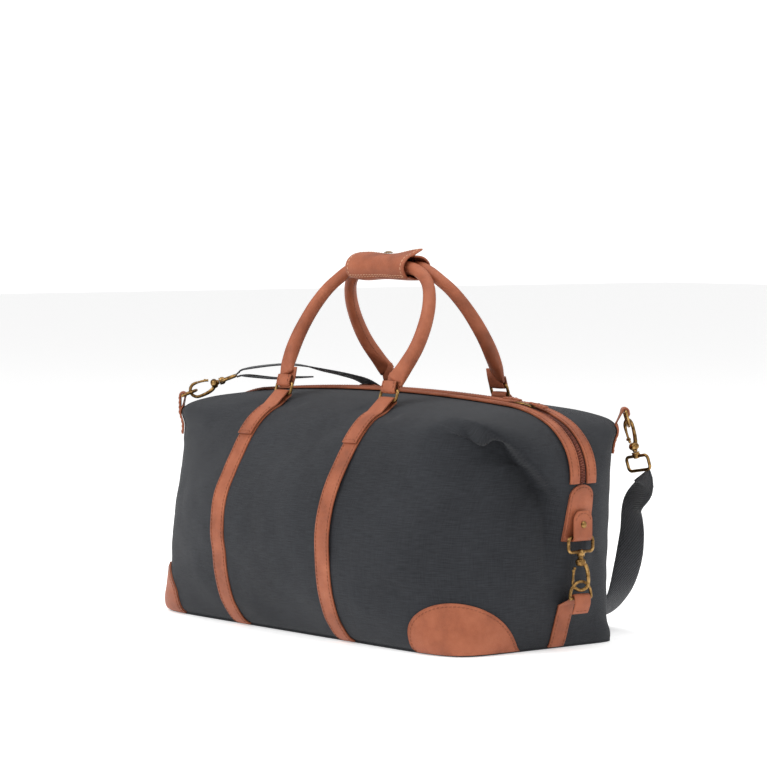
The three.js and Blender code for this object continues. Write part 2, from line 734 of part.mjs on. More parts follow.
function snapHook(name, origin, down, eyeAcross, bodyAcross) {
  const at = (across, u, v) => origin.clone().addScaledVector(across, u).addScaledVector(down, v);
  const eyeCentre = at(eyeAcross, 0, -5 - EYE_HALF_HEIGHT);
  const eye = wire(roundedLoop(eyeCentre, eyeAcross, down, EYE_HALF_WIDTH, EYE_HALF_HEIGHT, 3.5), HOOK_WIRE, true);
  const collar = turned([[0, -7.4], [3.2, -7.4], [4.4, -5.5], [4.4, -0.4], [0, -0.4]], origin, down, 10);
  add(`${name}_eye`, 'brass', join(eye, collar));
  const knuckle = turned([[0, 0.1], [2.6, 0.1], [3, 1.5], [5.2, 4], [5.6, 6.5], [4.6, 9.4], [0, 10.4]], origin, down, 10);
  const path = [at(bodyAcross, 2.5, 7), at(bodyAcross, 6.4, 12), at(bodyAcross, 8, 18), at(bodyAcross, HOOK_ROUND, 24)];
  for (let i = 0; i <= 8; i += 1) {
    const angle = (Math.PI * i) / 8;
    path.push(at(bodyAcross, HOOK_ROUND * Math.cos(angle), HOOK_REACH + HOOK_ROUND * Math.sin(angle)));
  }
  path.push(at(bodyAcross, -HOOK_ROUND, 25));
  add(`${name}_body`, 'brass', join(knuckle, wire(path, 2, false, 6)));
  const gate = [at(bodyAcross, -6.6, 12.4), at(bodyAcross, -7.4, 17), at(bodyAcross, -HOOK_ROUND, 24.2)];
  add(`${name}_gate`, 'brass', wire(gate, 1.4, false, 6));
}

const RING_REACH = 15;           // half width of a D-ring
const END_RING_DEPTH = 17.5;     // bar to the middle of the bow

function dRing(name, bar, across, up, height) {
  const path = [];
  const arcSteps = 10;
  for (let i = 0; i <= arcSteps; i += 1) {
    const angle = (Math.PI * i) / arcSteps;
    const rise = height * Math.sin(angle) ** 0.8;
    path.push(bar.clone().addScaledVector(across, RING_REACH * Math.cos(angle)).addScaledVector(up, rise));
  }
  for (const u of [-8, 8]) path.push(bar.clone().addScaledVector(across, u));
  add(name, 'brass', wire(path, RING_WIRE, true));
}

// ---------------------------------------------------------------- ends: patch, loop, hook, D-ring, strap
function endOutline(halfTop, halfBottom, low, high, round) {
  const outline = [];
  for (let i = 0; i <= 10; i += 1) {
    const angle = (Math.PI * i) / 10;
    outline.push([SPINE_Y + halfTop * Math.cos(angle), high - round + round * Math.sin(angle)]);
  }
  for (let i = 1; i <= 4; i += 1) outline.push([SPINE_Y - lerp(halfTop, halfBottom, i / 4), lerp(high - round, low, i / 4)]);
  for (let i = 1; i <= 4; i += 1) outline.push([SPINE_Y + lerp(-halfBottom, halfBottom, i / 4), low]);
  for (let i = 1; i < 4; i += 1) outline.push([SPINE_Y + lerp(halfBottom, halfTop, i / 4), lerp(low, high - round, i / 4)]);
  return outline;
}

function endFittings(hand, end) {
  const place = (y, z, lift) => endPoint(y, z, end, lift);
  const patchOutline = endOutline(16.5, 19.5, PATCH_BOTTOM, PATCH_TOP, 13);
  add(`end_patch_${hand}`, 'leather', patch(patchOutline, [SPINE_Y, 146], place, 0.8, 2, 4));

  // The leather loop folded round the hook's eye, riveted through the patch.
  const barZ = 124.5;
  const wall = place(SPINE_Y, barZ, 0).x * end;
  const inner = HOOK_WIRE + 0.7;
  const reach = wall + 0.8 + 2 + 0.6 + LEATHER + inner;
  const half = 13;
  const stations = [];
  const push = (x, z, nx, nz) => stations.push({ at: vec(end * x, SPINE_Y, z), across: vec(0, 1, 0), normal: vec(end * nx, 0, nz) });
  const surfaceAt = (z) => place(SPINE_Y, z, 0).x * end + 0.8 + 2 + 0.6;
  for (const z of [148, 140, 132, 126]) push(Math.max(surfaceAt(z), reach - inner - LEATHER - 0.1), z, 1, 0);
  for (let i = 0; i <= 8; i += 1) {
    const angle = lerp(Math.PI, 2 * Math.PI, i / 8);
    const [c, s] = [Math.cos(angle), Math.sin(angle)];
    stations.push({
      at: vec(end * (reach + (inner + LEATHER) * c), SPINE_Y, barZ + (inner + LEATHER) * s),
      across: vec(0, 1, 0),
      normal: vec(-end * c, 0, -s),
    });
  }
  const outerX = reach + inner + LEATHER;
  for (const z of [132, 142, 148]) {
    stations.push({ at: vec(end * outerX, SPINE_Y, z), across: vec(0, 1, 0), normal: vec(-end, 0, 0) });
  }
  stations.push({ at: vec(end * outerX, SPINE_Y, 153), across: vec(0, 1, 0), normal: vec(-end, 0, 0), scale: 0.75 });
  add(`hook_loop_${hand}`, 'leather', strip(stations, 2 * half, LEATHER));
  add(`loop_rivet_${hand}`, 'brass', turned([[0, 0], [3.7, 0], [3.4, 0.9], [2, 1.5], [0, 1.7]],
    vec(end * (outerX + GAP), SPINE_Y, 138), vec(end, 0, 0)));

  const origin = vec(end * reach, SPINE_Y, barZ - 2 * EYE_HALF_HEIGHT - 5);
  const turn = vec(0.63, end * 0.78, 0).normalize();
  snapHook(`end_hook_${hand}`, origin, vec(0, 0, -1), vec(0, 1, 0), turn);

  // The strap from the base, folded round the D-ring.
  const ringZ = 59;
  const barX = reach;
  const bar = vec(end * barX, SPINE_Y, ringZ);
  dRing(`end_ring_${hand}`, bar, vec(0, 1, 0), vec(0, 0, 1), END_RING_DEPTH);
  const strapHalf = 11;
  const sections = [];
  const ringRows = RING_WIRE + 0.7;
  for (let i = 0; i <= 9; i += 1) {
    const z = lerp(4.2, ringZ - 9, i / 9);
    const low = [-strapHalf, 0, strapHalf].map((u) => place(SPINE_Y + u, z, 0.8));
    const high = [strapHalf, 0, -strapHalf].map((u) => place(SPINE_Y + u, z, 0.8 + LEATHER));
    sections.push([...low, ...high]);
  }
  for (let i = 0; i <= 8; i += 1) {
    const angle = lerp(Math.PI, 0, i / 8);
    const row = (u, r) => vec(end * (barX + r * Math.cos(angle)), SPINE_Y + u, ringZ + r * Math.sin(angle));
    const [rIn, rOut] = [ringRows, ringRows + LEATHER];
    sections.push([row(-strapHalf, rOut), row(0, rOut), row(strapHalf, rOut),
      row(strapHalf, rIn), row(0, rIn), row(-strapHalf, rIn)]);
  }
  for (const [drop, shift] of [[6, 0], [12, -2], [17, -4.5]]) {
    const row = (u, r) => vec(end * (barX + ringRows + r + shift), SPINE_Y + u, ringZ - drop);
    sections.push([row(-strapHalf, LEATHER), row(0, LEATHER), row(strapHalf, LEATHER),
      row(strapHalf, 0), row(0, 0), row(-strapHalf, 0)]);
  }
  add(`end_strap_${hand}`, 'leather', loft(sections));
}
for (const [hand, end] of Object.entries(HANDS)) endFittings(hand, end);

// ---------------------------------------------------------------- shoulder strap
const TAB_LOW = 209;
const TAB_TOP = 243;
const TAB_HALF = 11;
const TAB_LIFT = 2.9;
const RING_DEPTH = 17;
const CLIPPED = 9.8;             // hook's round end, from the ring's bar
const HOOK_LENGTH = HOOK_REACH + HOOK_ROUND;

// The place round the bag, at a height, that reaches furthest in a direction.
function outermostPhi(out, z) {
  const t = ringIndex(250, z);
  let best = 0;
  for (let phi = 0; phi < 2 * Math.PI; phi += 0.01) {
    if (formPoint(phi, t).dot(out) > formPoint(best, t).dot(out)) best = phi;
  }
  return best;
}

// A leather tab on a top corner, folded over the bar of its D-ring.
function shoulderTab(hand, end, tongue, standoff) {
  const out = vec(end * 0.62, end * 0.785, 0).normalize();
  const place = cornerPlace(outermostPhi(out, TAB_TOP - 8), 250);
  const top = place(0, TAB_TOP, 0);
  const across = vec(-out.y, out.x, 0);
  const bar = top.clone().addScaledVector(out, standoff).add(vec(0, 0, 9));
  const sections = [];
  for (let i = 0; i <= 6; i += 1) {
    const z = lerp(TAB_LOW, TAB_TOP - 2, i / 6);
    const low = [-TAB_HALF, 0, TAB_HALF].map((u) => place(u, z, TAB_LIFT));
    const high = [TAB_HALF, 0, -TAB_HALF].map((u) => place(u, z, TAB_LIFT + LEATHER));
    sections.push([...low, ...high]);
  }
  const sign = sections[0][2].clone().sub(sections[0][0]).dot(across) > 0 ? 1 : -1;
  const side = across.clone().multiplyScalar(sign);
  const inner = RING_WIRE + 0.7;
  const row = (centre, dir, rIn, rOut) => {
    const at = (u, r) => centre.clone().addScaledVector(side, u).addScaledVector(dir, r);
    sections.push([at(-TAB_HALF, rOut), at(0, rOut), at(TAB_HALF, rOut),
      at(TAB_HALF, rIn), at(0, rIn), at(-TAB_HALF, rIn)]);
  };
  for (let i = 0; i <= 8; i += 1) {
    const angle = lerp(Math.PI, 0, i / 8);
    const dir = out.clone().multiplyScalar(Math.cos(angle)).add(vec(0, 0, Math.sin(angle)));
    row(bar, dir, inner, inner + LEATHER);
  }
  for (const drop of tongue) row(bar.clone().add(vec(0, 0, -drop)), out, inner, inner + LEATHER);
  add(`strap_tab_${hand}`, 'leather', loft(sections));
  return { bar, out, side };
}

// Left: the ring lies inward over the top. Right: it hangs down outside.
const leftTab = shoulderTab('left', -1, [7, 14, 22], 9.4);
const rightTab = shoulderTab('right', 1, [2, 5], 18);
const leftDir = vec(0.60, 0.76, 0.36).normalize();
const rightDir = vec(0, 0, -1).addScaledVector(rightTab.out, 0.26).normalize();

function clipOn(hand, tab, dir, bodyAcross, eyeAcross) {
  dRing(`strap_ring_${hand}`, tab.bar, tab.side, dir, RING_DEPTH);
  const origin = tab.bar.clone().addScaledVector(dir, CLIPPED + HOOK_LENGTH);
  snapHook(`strap_hook_${hand}`, origin, dir.clone().negate(), eyeAcross, bodyAcross);
  return origin.addScaledVector(dir, 5 + 2 * EYE_HALF_HEIGHT);
}
const perpendicular = (v, axis) => v.clone().addScaledVector(axis, -v.dot(axis)).normalize();
const leftEnd = clipOn('left', leftTab, leftDir, perpendicular(vec(0, 0, -1), leftDir),
  perpendicular(vec(0.78, -0.63, 0), leftDir));
const rightEnd = clipOn('right', rightTab, rightDir,
  perpendicular(rightTab.side.clone().addScaledVector(rightTab.out, 0.7), rightDir),
  perpendicular(vec(1, 0, 0), rightDir));

// The webbing's line: points along its under face, each with the way that face's back looks.
const WEBBING_LINE = [
  [[-196, 4, 290], [-0.1, -0.1, 1]],
  [[-180, 24, 289], [0, 0, 1]],
  [[-166, 48, 283], [0, 0.2, 1]],
  [[-158, 74, 277], [0, 0.35, 1]],
  [[-154, 100, 269], [0, 0.6, 0.9]],
  [[-153, 126, 252], [0, 0.9, 0.5]],
  [[-152, 149, 224], [0, 1, 0.2]],
  [[-150, 165, 180], [0, 1, 0]],
  [[-146, 170, 130], [0.1, 1, 0]],
  [[-136, 174, 80], [0.7, 0.7, 0.1]],
  [[-118, 178, 40], [0.9, 0.1, 0.35]],
  [[-88, 180, 14], [0.35, 0, 0.9]],
  [[-48, 180, 5], [0.1, 0, 1]],
  [[10, 180, 4], [0, 0, 1]],
  [[70, 180, 4], [0, 0, 1]],
  [[130, 180, 5], [-0.1, 0, 1]],
  [[175, 179, 14], [-0.35, 0, 0.9]],
  [[207, 177, 38], [-0.8, 0.1, 0.5]],
  [[228, 172, 74], [-0.8, 0.6, 0.2]],
  [[248, 160, 112], [-0.4, 0.9, 0]],
  [[264, 146, 148], [-0.1, 1, 0]],
];

// Stations of a strip along points, with its face turning smoothly between the hints.
function stationsAlong(line, count, lift = 0, from = 0, to = 1) {
  const curve = new THREE.CatmullRomCurve3(line.map(([p]) => vec(...p)), false, 'centripetal');
  const hints = new THREE.CatmullRomCurve3(line.map(([, n]) => vec(...n)), false, 'centripetal');
  return Array.from({ length: count + 1 }, (_, i) => {
    const share = lerp(from, to, i / count);
    const u = curve.getUtoTmapping(share);
    const at = curve.getPoint(u);
    const tangent = curve.getTangent(u);
    const hint = hints.getPoint(u);
    const normal = hint.addScaledVector(tangent, -hint.dot(tangent)).normalize();
    return { at: at.addScaledVector(normal, lift), across: tangent.clone().cross(normal), normal };
  });
}

const startPoint = leftEnd.clone().addScaledVector(leftDir, HOOK_WIRE + 1.8);
const endPointWebbing = rightEnd.clone().addScaledVector(rightDir, HOOK_WIRE + 3);
const along = (from, dir, distance, rise) => from.clone().addScaledVector(dir, distance).add(vec(0, 0, rise)).toArray();
const mainLine = [
  [along(startPoint, leftDir, 0, 1), [-0.3, -0.3, 1]],
  [along(startPoint, leftDir, 9, 3), [-0.3, -0.3, 1]],
  ...WEBBING_LINE,
  [along(endPointWebbing, rightDir, 14, 0), [0.1, 1, 0]],
  [along(endPointWebbing, rightDir, 0, 0), [0.1, 1, 0]],
];
add('shoulder_webbing', 'webbing', strip(stationsAlong(mainLine, 88), WEBBING_WIDTH, WEBBING_THICK));

// The strand that runs back from the hook under the first, to the slide adjuster.
const returnLine = [
  [along(startPoint, leftDir, 0, -3), [-0.3, -0.3, 1]],
  [along(startPoint, leftDir, 9, -5), [-0.3, -0.3, 1]],
  [[-203, 2, 273.5], [0, 0, 1]],
  [[-188, 20, 274.5], [0, 0, 1]],
  [[-176, 38, 275], [0, 0.1, 1]],
];
add('shoulder_webbing_return', 'webbing', strip(stationsAlong(returnLine, 10), WEBBING_WIDTH, WEBBING_THICK));
add('shoulder_pad', 'leather', strip(stationsAlong(mainLine, 16, -6, 0.175, 0.32), 46, 4.6));

export default bag;
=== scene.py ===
import bisect
import json
import math

import bpy
import numpy as np
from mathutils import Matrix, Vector, noise


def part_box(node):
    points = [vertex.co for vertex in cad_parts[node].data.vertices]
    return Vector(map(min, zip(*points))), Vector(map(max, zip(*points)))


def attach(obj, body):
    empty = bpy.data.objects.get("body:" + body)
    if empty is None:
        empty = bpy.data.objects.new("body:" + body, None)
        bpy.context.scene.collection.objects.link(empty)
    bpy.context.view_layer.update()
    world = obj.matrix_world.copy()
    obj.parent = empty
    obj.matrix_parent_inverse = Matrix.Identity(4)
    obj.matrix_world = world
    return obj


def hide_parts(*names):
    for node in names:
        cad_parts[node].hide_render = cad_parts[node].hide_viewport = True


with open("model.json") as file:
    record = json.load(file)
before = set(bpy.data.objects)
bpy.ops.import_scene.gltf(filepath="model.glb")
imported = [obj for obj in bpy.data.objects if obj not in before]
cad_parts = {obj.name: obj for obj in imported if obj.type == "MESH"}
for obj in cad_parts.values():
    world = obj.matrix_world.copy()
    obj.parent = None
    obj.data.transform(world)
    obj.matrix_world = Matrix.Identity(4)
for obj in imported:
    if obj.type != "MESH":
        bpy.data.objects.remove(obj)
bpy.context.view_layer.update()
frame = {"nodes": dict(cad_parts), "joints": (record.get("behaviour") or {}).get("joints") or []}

# Everything below is in millimetres until mesh_object() turns it into metres.
MM = 0.001
SPINE_Y = 18.0          # plane of the zip
STRAP_X = 96.0
STRAP_WIDTH = 24.0
LEATHER = 2.2
RING_WIRE = 1.7
RING_GAP = RING_WIRE + 0.5      # from a ring's middle to the leather round it
HOOK_WIRE = 1.8
SEWN = LEATHER + 0.3            # height of the threads over a strip's under face
ZIP_HALF = 5.0
TRIM_WIDTH = 13.0
GRIP_Z = 409.0
UP = np.array([0.0, 0.0, 1.0])

# Rings of the bag's outer form: height, half length, depth before and behind the zip
# plane, squareness, flare of the depth towards the ends.
RINGS = np.array([
    [3.1, 277, 139, 103, 10, 0], [10, 281, 149, 108, 7.5, 0], [30, 288, 162, 115, 4.8, 0],
    [55, 296, 172, 122, 3.5, 0], [85, 303, 179, 130, 2.85, 0], [115, 309, 181, 136, 2.6, 0],
    [147, 315, 176, 138, 2.45, 0], [179, 320, 162, 134, 2.45, 0], [205, 320, 146, 126, 2.6, 0.04],
    [230, 311, 126, 112, 3.1, 0.12], [250, 292, 99, 92, 4.6, 0.28], [261, 268, 68, 65, 6, 0.4],
    [266, 245, 34, 33, 6, 0.5], [268, 226, 0, 0, 6, 0.5],
])
TOP_RING = len(RINGS) - 1
FLARE_SPAN = 250.0
DROP_FROM, DROP_OVER, END_DROP, RIDGE_HALF = 180.0, 90.0, 10.0, 243.0
FRONT, BACK = -1, 1
LEFT, RIGHT = -1, 1
SIDES = {"front": FRONT, "back": BACK}
HANDS = {"left": LEFT, "right": RIGHT}


# ------------------------------------------------------------------ small maths
def vec(*values):
    return np.array(values, float)


def unit(v):
    return v / max(np.linalg.norm(v), 1e-9)


def lerp(a, b, t):
    return a + (b - a) * t


def clamp01(value):
    return min(1.0, max(0.0, value))


def smooth(value):
    t = clamp01(value)
    return t * t * (3 - 2 * t)


def spline(points, count, closed=False):
    """Evenly spaced points on a Catmull-Rom curve through the given ones."""
    pts = np.asarray(points, float)
    n = len(pts)
    spans = n if closed else n - 1
    fine = []
    for i in range(spans):
        a, b = pts[(i - 1) % n if closed else max(i - 1, 0)], pts[i]
        c, d = pts[(i + 1) % n], pts[(i + 2) % n if closed else min(i + 2, n - 1)]
        for f in np.linspace(0, 1, 24, endpoint=False):
            fine.append(0.5 * (2 * b + (c - a) * f + (2 * a - 5 * b + 4 * c - d) * f ** 2
                               + (3 * b - a - 3 * c + d) * f ** 3))
    fine.append(pts[0] if closed else pts[-1])
    fine = np.array(fine)
    gone = distances(fine)
    want = np.linspace(0, gone[-1], count, endpoint=not closed)
    return np.stack([np.interp(want, gone, fine[:, k]) for k in range(fine.shape[1])], axis=1)


def distances(points):
    """How far along a row of points each one lies."""
    return np.concatenate([[0], np.cumsum(np.linalg.norm(np.diff(points, axis=0), axis=1))])


def tangents(path, closed=False):
    """Unit directions along a row of points."""
    if closed:
        diff = np.roll(path, -1, axis=0) - np.roll(path, 1, axis=0)
    else:
        diff = np.gradient(path, axis=0)
    return diff / np.maximum(np.linalg.norm(diff, axis=1), 1e-9)[:, None]


# ------------------------------------------------------------------ the bag's form
def ring_at(t):
    """The ring at number t, smoothly between the given ones."""
    i = min(max(int(math.floor(t)), 0), TOP_RING - 1)
    f = t - i
    a, b = RINGS[max(i - 1, 0)], RINGS[i]
    c, d = RINGS[i + 1], RINGS[min(i + 2, TOP_RING)]
    return 0.5 * (2 * b + (c - a) * f + (2 * a - 5 * b + 4 * c - d) * f ** 2
                  + (3 * b - a - 3 * c + d) * f ** 3)


def end_drop(x, z):
    """How far the upper part sags towards the two ends."""
    return clamp01((z - DROP_FROM) / DROP_OVER) * END_DROP * (x / RIDGE_HALF) ** 2


TABLE_STEPS = 3000
TABLE = [ring_at(t).tolist() for t in np.linspace(0, TOP_RING, TABLE_STEPS + 1)]
HEIGHTS = [row[0] for row in TABLE]


def flare_at(flare, x):
    """How much deeper the form is at x than in its middle."""
    return 1 + flare * (x / FLARE_SPAN) ** 2


def form_point(phi, t):
    """The place on the form at an angle round the bag, on ring number t."""
    z, ax, front, back, n, flare = TABLE[round(clamp01(t / TOP_RING) * TABLE_STEPS)]
    c, s = math.cos(phi), math.sin(phi)
    depth = max(front if s < 0 else back, 0)
    r = (abs(c) ** n + abs(s) ** n) ** (-1 / n)
    x = ax * r * c
    return vec(x, SPINE_Y + depth * r * s * flare_at(flare, x), z - end_drop(x, z))


def ring_height(x, z):
    """Height of the ring that, once dropped towards the ends, passes z over x."""
    height = z
    for _ in range(4):
        height = z + end_drop(x, height)
    return min(max(height, HEIGHTS[0]), HEIGHTS[-1])


def ring_index(x, z):
    """Number of the ring that passes a height over x."""
    found = bisect.bisect_left(HEIGHTS, ring_height(x, z))
    return min(found, TABLE_STEPS) * TOP_RING / TABLE_STEPS


def depth_at(x, z, side):
    """Depth of the form from the zip plane at a place on its face; below 0 past its ends."""
    height = ring_height(x, z)
    i = min(max(bisect.bisect_left(HEIGHTS, height), 1), TABLE_STEPS)
    share = (height - HEIGHTS[i - 1]) / max(HEIGHTS[i] - HEIGHTS[i - 1], 1e-9)
    _, ax, front, back, n, flare = [lerp(a, b, share) for a, b in zip(TABLE[i - 1], TABLE[i])]
    inside = 1 - (abs(x) / ax) ** n
    if inside <= 0:
        return -1.0
    return (front if side < 0 else back) * inside ** (1 / n) * flare_at(flare, x)


# Soft folds pressed into the canvas: start, end, depth (negative sinks), width.
FOLDS = [
    (vec(318, -20, 176), vec(298, -2, 60), -3.5, 13),
    (vec(-318, 52, 176), vec(-298, 34, 60), -3.5, 13),
    (vec(165, -155, 70), vec(262, -118, 62), -2.6, 15),
    (vec(180, -158, 92), vec(285, -95, 74), 1.8, 16),
    (vec(120, -160, 120), vec(128, -140, 200), -1.6, 26),
    (vec(-20, -160, 60), vec(20, -160, 190), 1.4, 45),
    (vec(-210, -140, 150), vec(-150, -150, 200), -1.8, 24),
    (vec(-260, -120, 60), vec(-180, -160, 80), -2.4, 16),
    (vec(60, -75, 256), vec(125, -84, 250), -2.2, 11),
    (vec(-140, -84, 250), vec(-60, -75, 256), -1.8, 11),
    (vec(200, 130, 60), vec(262, 118, 20), -3.0, 10),
    (vec(290, 60, 45), vec(276, 112, 22), -3.0, 9),
    (vec(-150, 150, 90), vec(-40, 155, 120), -2.0, 22),
    (vec(60, 155, 150), vec(170, 140, 110), -2.0, 22),
    (vec(-262, 118, 60), vec(-180, 135, 75), -2.2, 14),
]
# The tuck in two corners of the top: the edge of the overhanging flap.
TUCK_EDGE = [(222, -70, 252), (244, -79, 248.5), (267, -79.5, 243.6), (285.6, -72.5, 235),
             (300.7, -53, 218.7), (312, -36, 198), (317, -18, 177), (318, -4, 163)]
TUCK_DEPTH = 33.0
TUCK_REACH = 52.0
TUCK_LIP = 6.0
TUCK_OUT = np.array([[0.35, -0.75, 0.55], [0.4, -0.75, 0.5], [0.5, -0.7, 0.5], [0.6, -0.65, 0.4],
                     [0.75, -0.6, 0.3], [0.85, -0.5, 0.2], [0.93, -0.35, 0.1], [0.97, -0.2, 0.0]])


def make_tuck(turned):
    """A tuck's edge and, at each of its points, the way to the overhanging side."""
    edge = spline(TUCK_EDGE, 90)
    out = spline(TUCK_OUT, 90)
    if turned:
        edge = edge * [-1, -1, 1] + [0, 2 * SPINE_Y, 0]
        out = out * [-1, -1, 1]
    along = tangents(edge)
    over = np.cross(out, along)
    over /= np.linalg.norm(over, axis=1)[:, None]
    return edge, over


TUCKS = [make_tuck(False), make_tuck(True)]


def tuck_relief(points):
    """How far each point is pressed in under a flap, or rises on the flap's lip."""
    total = np.zeros(len(points))
    for edge, over in TUCKS:
        near = np.where(np.linalg.norm(points - edge[45], axis=1) < 260)[0]
        if len(near) == 0:
            continue
        away = points[near][:, None, :] - edge[None, :, :]
        nearest = np.argmin((away ** 2).sum(axis=2), axis=1)
        rows = np.arange(len(near))
        gap = away[rows, nearest]
        distance = np.linalg.norm(gap, axis=1)
        signed = np.einsum("ij,ij->i", gap, over[nearest])
        share = nearest / (len(edge) - 1)
        grow = np.clip(share / 0.35, 0, 1) ** 1.3 * np.clip((1.12 - share) / 0.3, 0, 1) ** 0.8
        sink = np.clip(-signed / 7.0, 0, 1)
        sink = sink * sink * (3 - 2 * sink) * np.exp(-(np.maximum(distance - 4, 0) / TUCK_REACH) ** 1.5)
        lip = np.clip(signed / 3.0 + 1, 0, 1) * np.exp(-(distance / 24.0) ** 2)
        beside = np.clip((np.abs(points[near, 1] - SPINE_Y) - 20) / 14, 0, 1)
        total[near] += beside * grow * (lip * TUCK_LIP * (1 - 0.8 * share) - sink * TUCK_DEPTH)
    return total


def relief(points):
    """Displacement of the canvas along its normal: tucks, folds and slack."""
    pts = np.atleast_2d(points)
    total = tuck_relief(pts)
    for start, end, height, width in FOLDS:
        line = end - start
        share = np.clip((pts - start) @ line / (line @ line), 0, 1)
        away = np.linalg.norm(pts - (start + share[:, None] * line), axis=1)
        total += height * np.exp(-(away / width) ** 2)
    slack = np.array([noise.noise(Vector(p * [0.011, 0.011, 0.017])) for p in pts])
    crumple = np.array([noise.noise(Vector(p * [0.03, 0.03, 0.045] + 7)) for p in pts])
    calm = np.clip((262 - pts[:, 2]) / 30, 0, 1) * np.clip((pts[:, 2] - 3) / 25, 0, 1)
    return total + calm * (2.6 * slack + 0.9 * crumple - 0.9)


def on_surface(at, u, v, step, outward, lift):
    """A point of a parametric face, moved by the relief and then by lift."""
    here = at(u, v)
    across = at(u + step, v) - at(u - step, v)
    upward = at(u, v + step) - at(u, v - step)
    normal = unit(np.cross(across, upward))
    if normal @ outward < 0:
        normal = -normal
    return here + normal * (relief(here)[0] + lift), normal


def face_point(x, z, side, lift=0.0):
    """A point of the canvas on the front or back face, lifted, and its normal."""
    at = lambda px, pz: vec(px, SPINE_Y + side * depth_at(px, pz, side), pz)
    return on_surface(at, x, z, 1.2, vec(0, side, 0.001), lift)


def end_reach(y, z):
    """How far along X the form reaches at a place on its ends."""
    side = FRONT if y < SPINE_Y else BACK
    low, high = 150.0, 330.0
    for _ in range(24):
        mid = (low + high) / 2
        if depth_at(mid, z, side) > abs(y - SPINE_Y):
            low = mid
        else:
            high = mid
    return low


def end_point(y, z, end, lift=0.0):
    """A point of the canvas on an end, lifted, and its normal."""
    at = lambda py, pz: vec(end * end_reach(py, pz), py, pz)
    return on_surface(at, y, z, 1.5, vec(end, 0, 0), lift)


def corner_point(corner_phi, x_corner, s, v, lift=0.0):
    """Walks round the bag from a corner: s along the surface, v the height."""
    t = ring_index(x_corner, v)
    end = 1 if math.cos(corner_phi) > 0 else -1
    turn = math.copysign(1, s) * end
    step = 0.004
    phi, left = corner_phi, abs(s)
    here = form_point(phi, t)
    while left > 0:
        ahead = form_point(phi + turn * step, t)
        length = np.linalg.norm(ahead - here)
        share = min(1.0, left / length)
        phi += turn * step * share
        left -= length
        here = ahead
    at = lambda p, q: form_point(p, max(q, 0.0))
    here = at(phi, t)
    normal = unit(np.cross(at(phi + step, t) - at(phi - step, t), at(phi, t + 0.02) - at(phi, t - 0.02)))
    if normal @ vec(here[0], here[1] - SPINE_Y, 0) < 0:
        normal = -normal
    return here + normal * (relief(here)[0] + lift), normal


# ------------------------------------------------------------------ mesh helpers
def mesh_object(name, points, faces, uvs, material):
    """A smoothly shaded object from points in millimetres, with a UV for each."""
    mesh = bpy.data.meshes.new(name)
    mesh.from_pydata((np.asarray(points) * MM).tolist(), [], [tuple(int(i) for i in f) for f in faces])
    layer = mesh.uv_layers.new(name="cloth")
    uvs = np.asarray(uvs, float)
    corners = np.empty(len(mesh.loops), np.int32)
    mesh.loops.foreach_get("vertex_index", corners)
    layer.data.foreach_set("uv", uvs[corners].ravel())
    mesh.polygons.foreach_set("use_smooth", [True] * len(mesh.polygons))
    mesh.materials.append(material)
    mesh.update()
    piece = bpy.data.objects.new(name, mesh)
    bpy.context.scene.collection.objects.link(piece)
    return piece


def place(piece, body, slot, *nodes):
    """Fixes a piece to its body and hides the nodes it stands for; slot is not used."""
    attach(piece, body)
    if nodes:
        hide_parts(*nodes)


def wall(low, high, count):
    """Quads between two like closed loops, given the number of each one's first point."""
    faces = []
    for j in range(count):
        k = (j + 1) % count
        faces.append((low + j, low + k, high + k, high + j))
    return faces


def skin(name, sections, material, closed=False):
    """A solid skinned over rows of like loops; its UV runs round and along in mm."""
    rows = [np.asarray(row) for row in sections]
    count = len(rows[0])
    around = distances(rows[len(rows) // 2])
    along = distances(np.array([row.mean(axis=0) for row in rows]))
    points = np.concatenate(rows)
    uvs = [(around[j], along[i]) for i in range(len(rows)) for j in range(count)]
    faces = []
    for i in range(len(rows) if closed else len(rows) - 1):
        faces += wall(i * count, (i + 1) % len(rows) * count, count)
    if not closed:
        last = (len(rows) - 1) * count
        faces.append(tuple(range(count - 1, -1, -1)))
        faces.append(tuple(last + j for j in range(count)))
    return mesh_object(name, points, outward(points, faces), uvs, material)


def outward(points, faces):
    """The faces of a closed mesh, turned over if they look inwards."""
    volume = 0.0
    for face in faces:
        a = points[face[0]]
        for i in range(1, len(face) - 1):
            volume += a @ np.cross(points[face[i]], points[face[i + 1]])
    return faces if volume > 0 else [tuple(reversed(face)) for face in faces]


TUBE_SIDES = 14


def tube(name, path, radius, material, closed=False, hint=None):
    """A round wire or roll along a path; radius is one value or one per point."""
    path = np.asarray(path, float)
    radii = np.broadcast_to(np.asarray(radius, float), (len(path),))
    along = tangents(path, closed)
    side = unit(np.cross(along[0], hint if hint is not None else vec(0.31, 0.53, 0.79)))
    sections = []
    for p, r, t in zip(path, radii, along):
        if closed and hint is not None:
            side = np.cross(t, hint)
        side = unit(side - t * (side @ t))
        up = np.cross(t, side)
        angles = np.linspace(0, 2 * math.pi, TUBE_SIDES, endpoint=False)
        sections.append([p + r * (math.cos(a) * side + math.sin(a) * up) for a in angles])
    return skin(name, sections, material, closed)


def turned(name, profile, centre, axis, material, segments=28):
    """A turned piece: profile is radius and height along axis."""
    axis = unit(np.asarray(axis, float))
    side = unit(np.cross(axis, vec(0.37, 0.61, 0.7)))
    other = np.cross(axis, side)
    smoothed = spline([(r, h, 0) for r, h in profile], 5 * len(profile))
    sections = []
    for r, h, _ in smoothed:
        angles = np.linspace(0, 2 * math.pi, segments, endpoint=False)
        sections.append([centre + axis * h + max(r, 0.02) * (math.cos(a) * side + math.sin(a) * other)
                         for a in angles])
    return skin(name, sections, material)


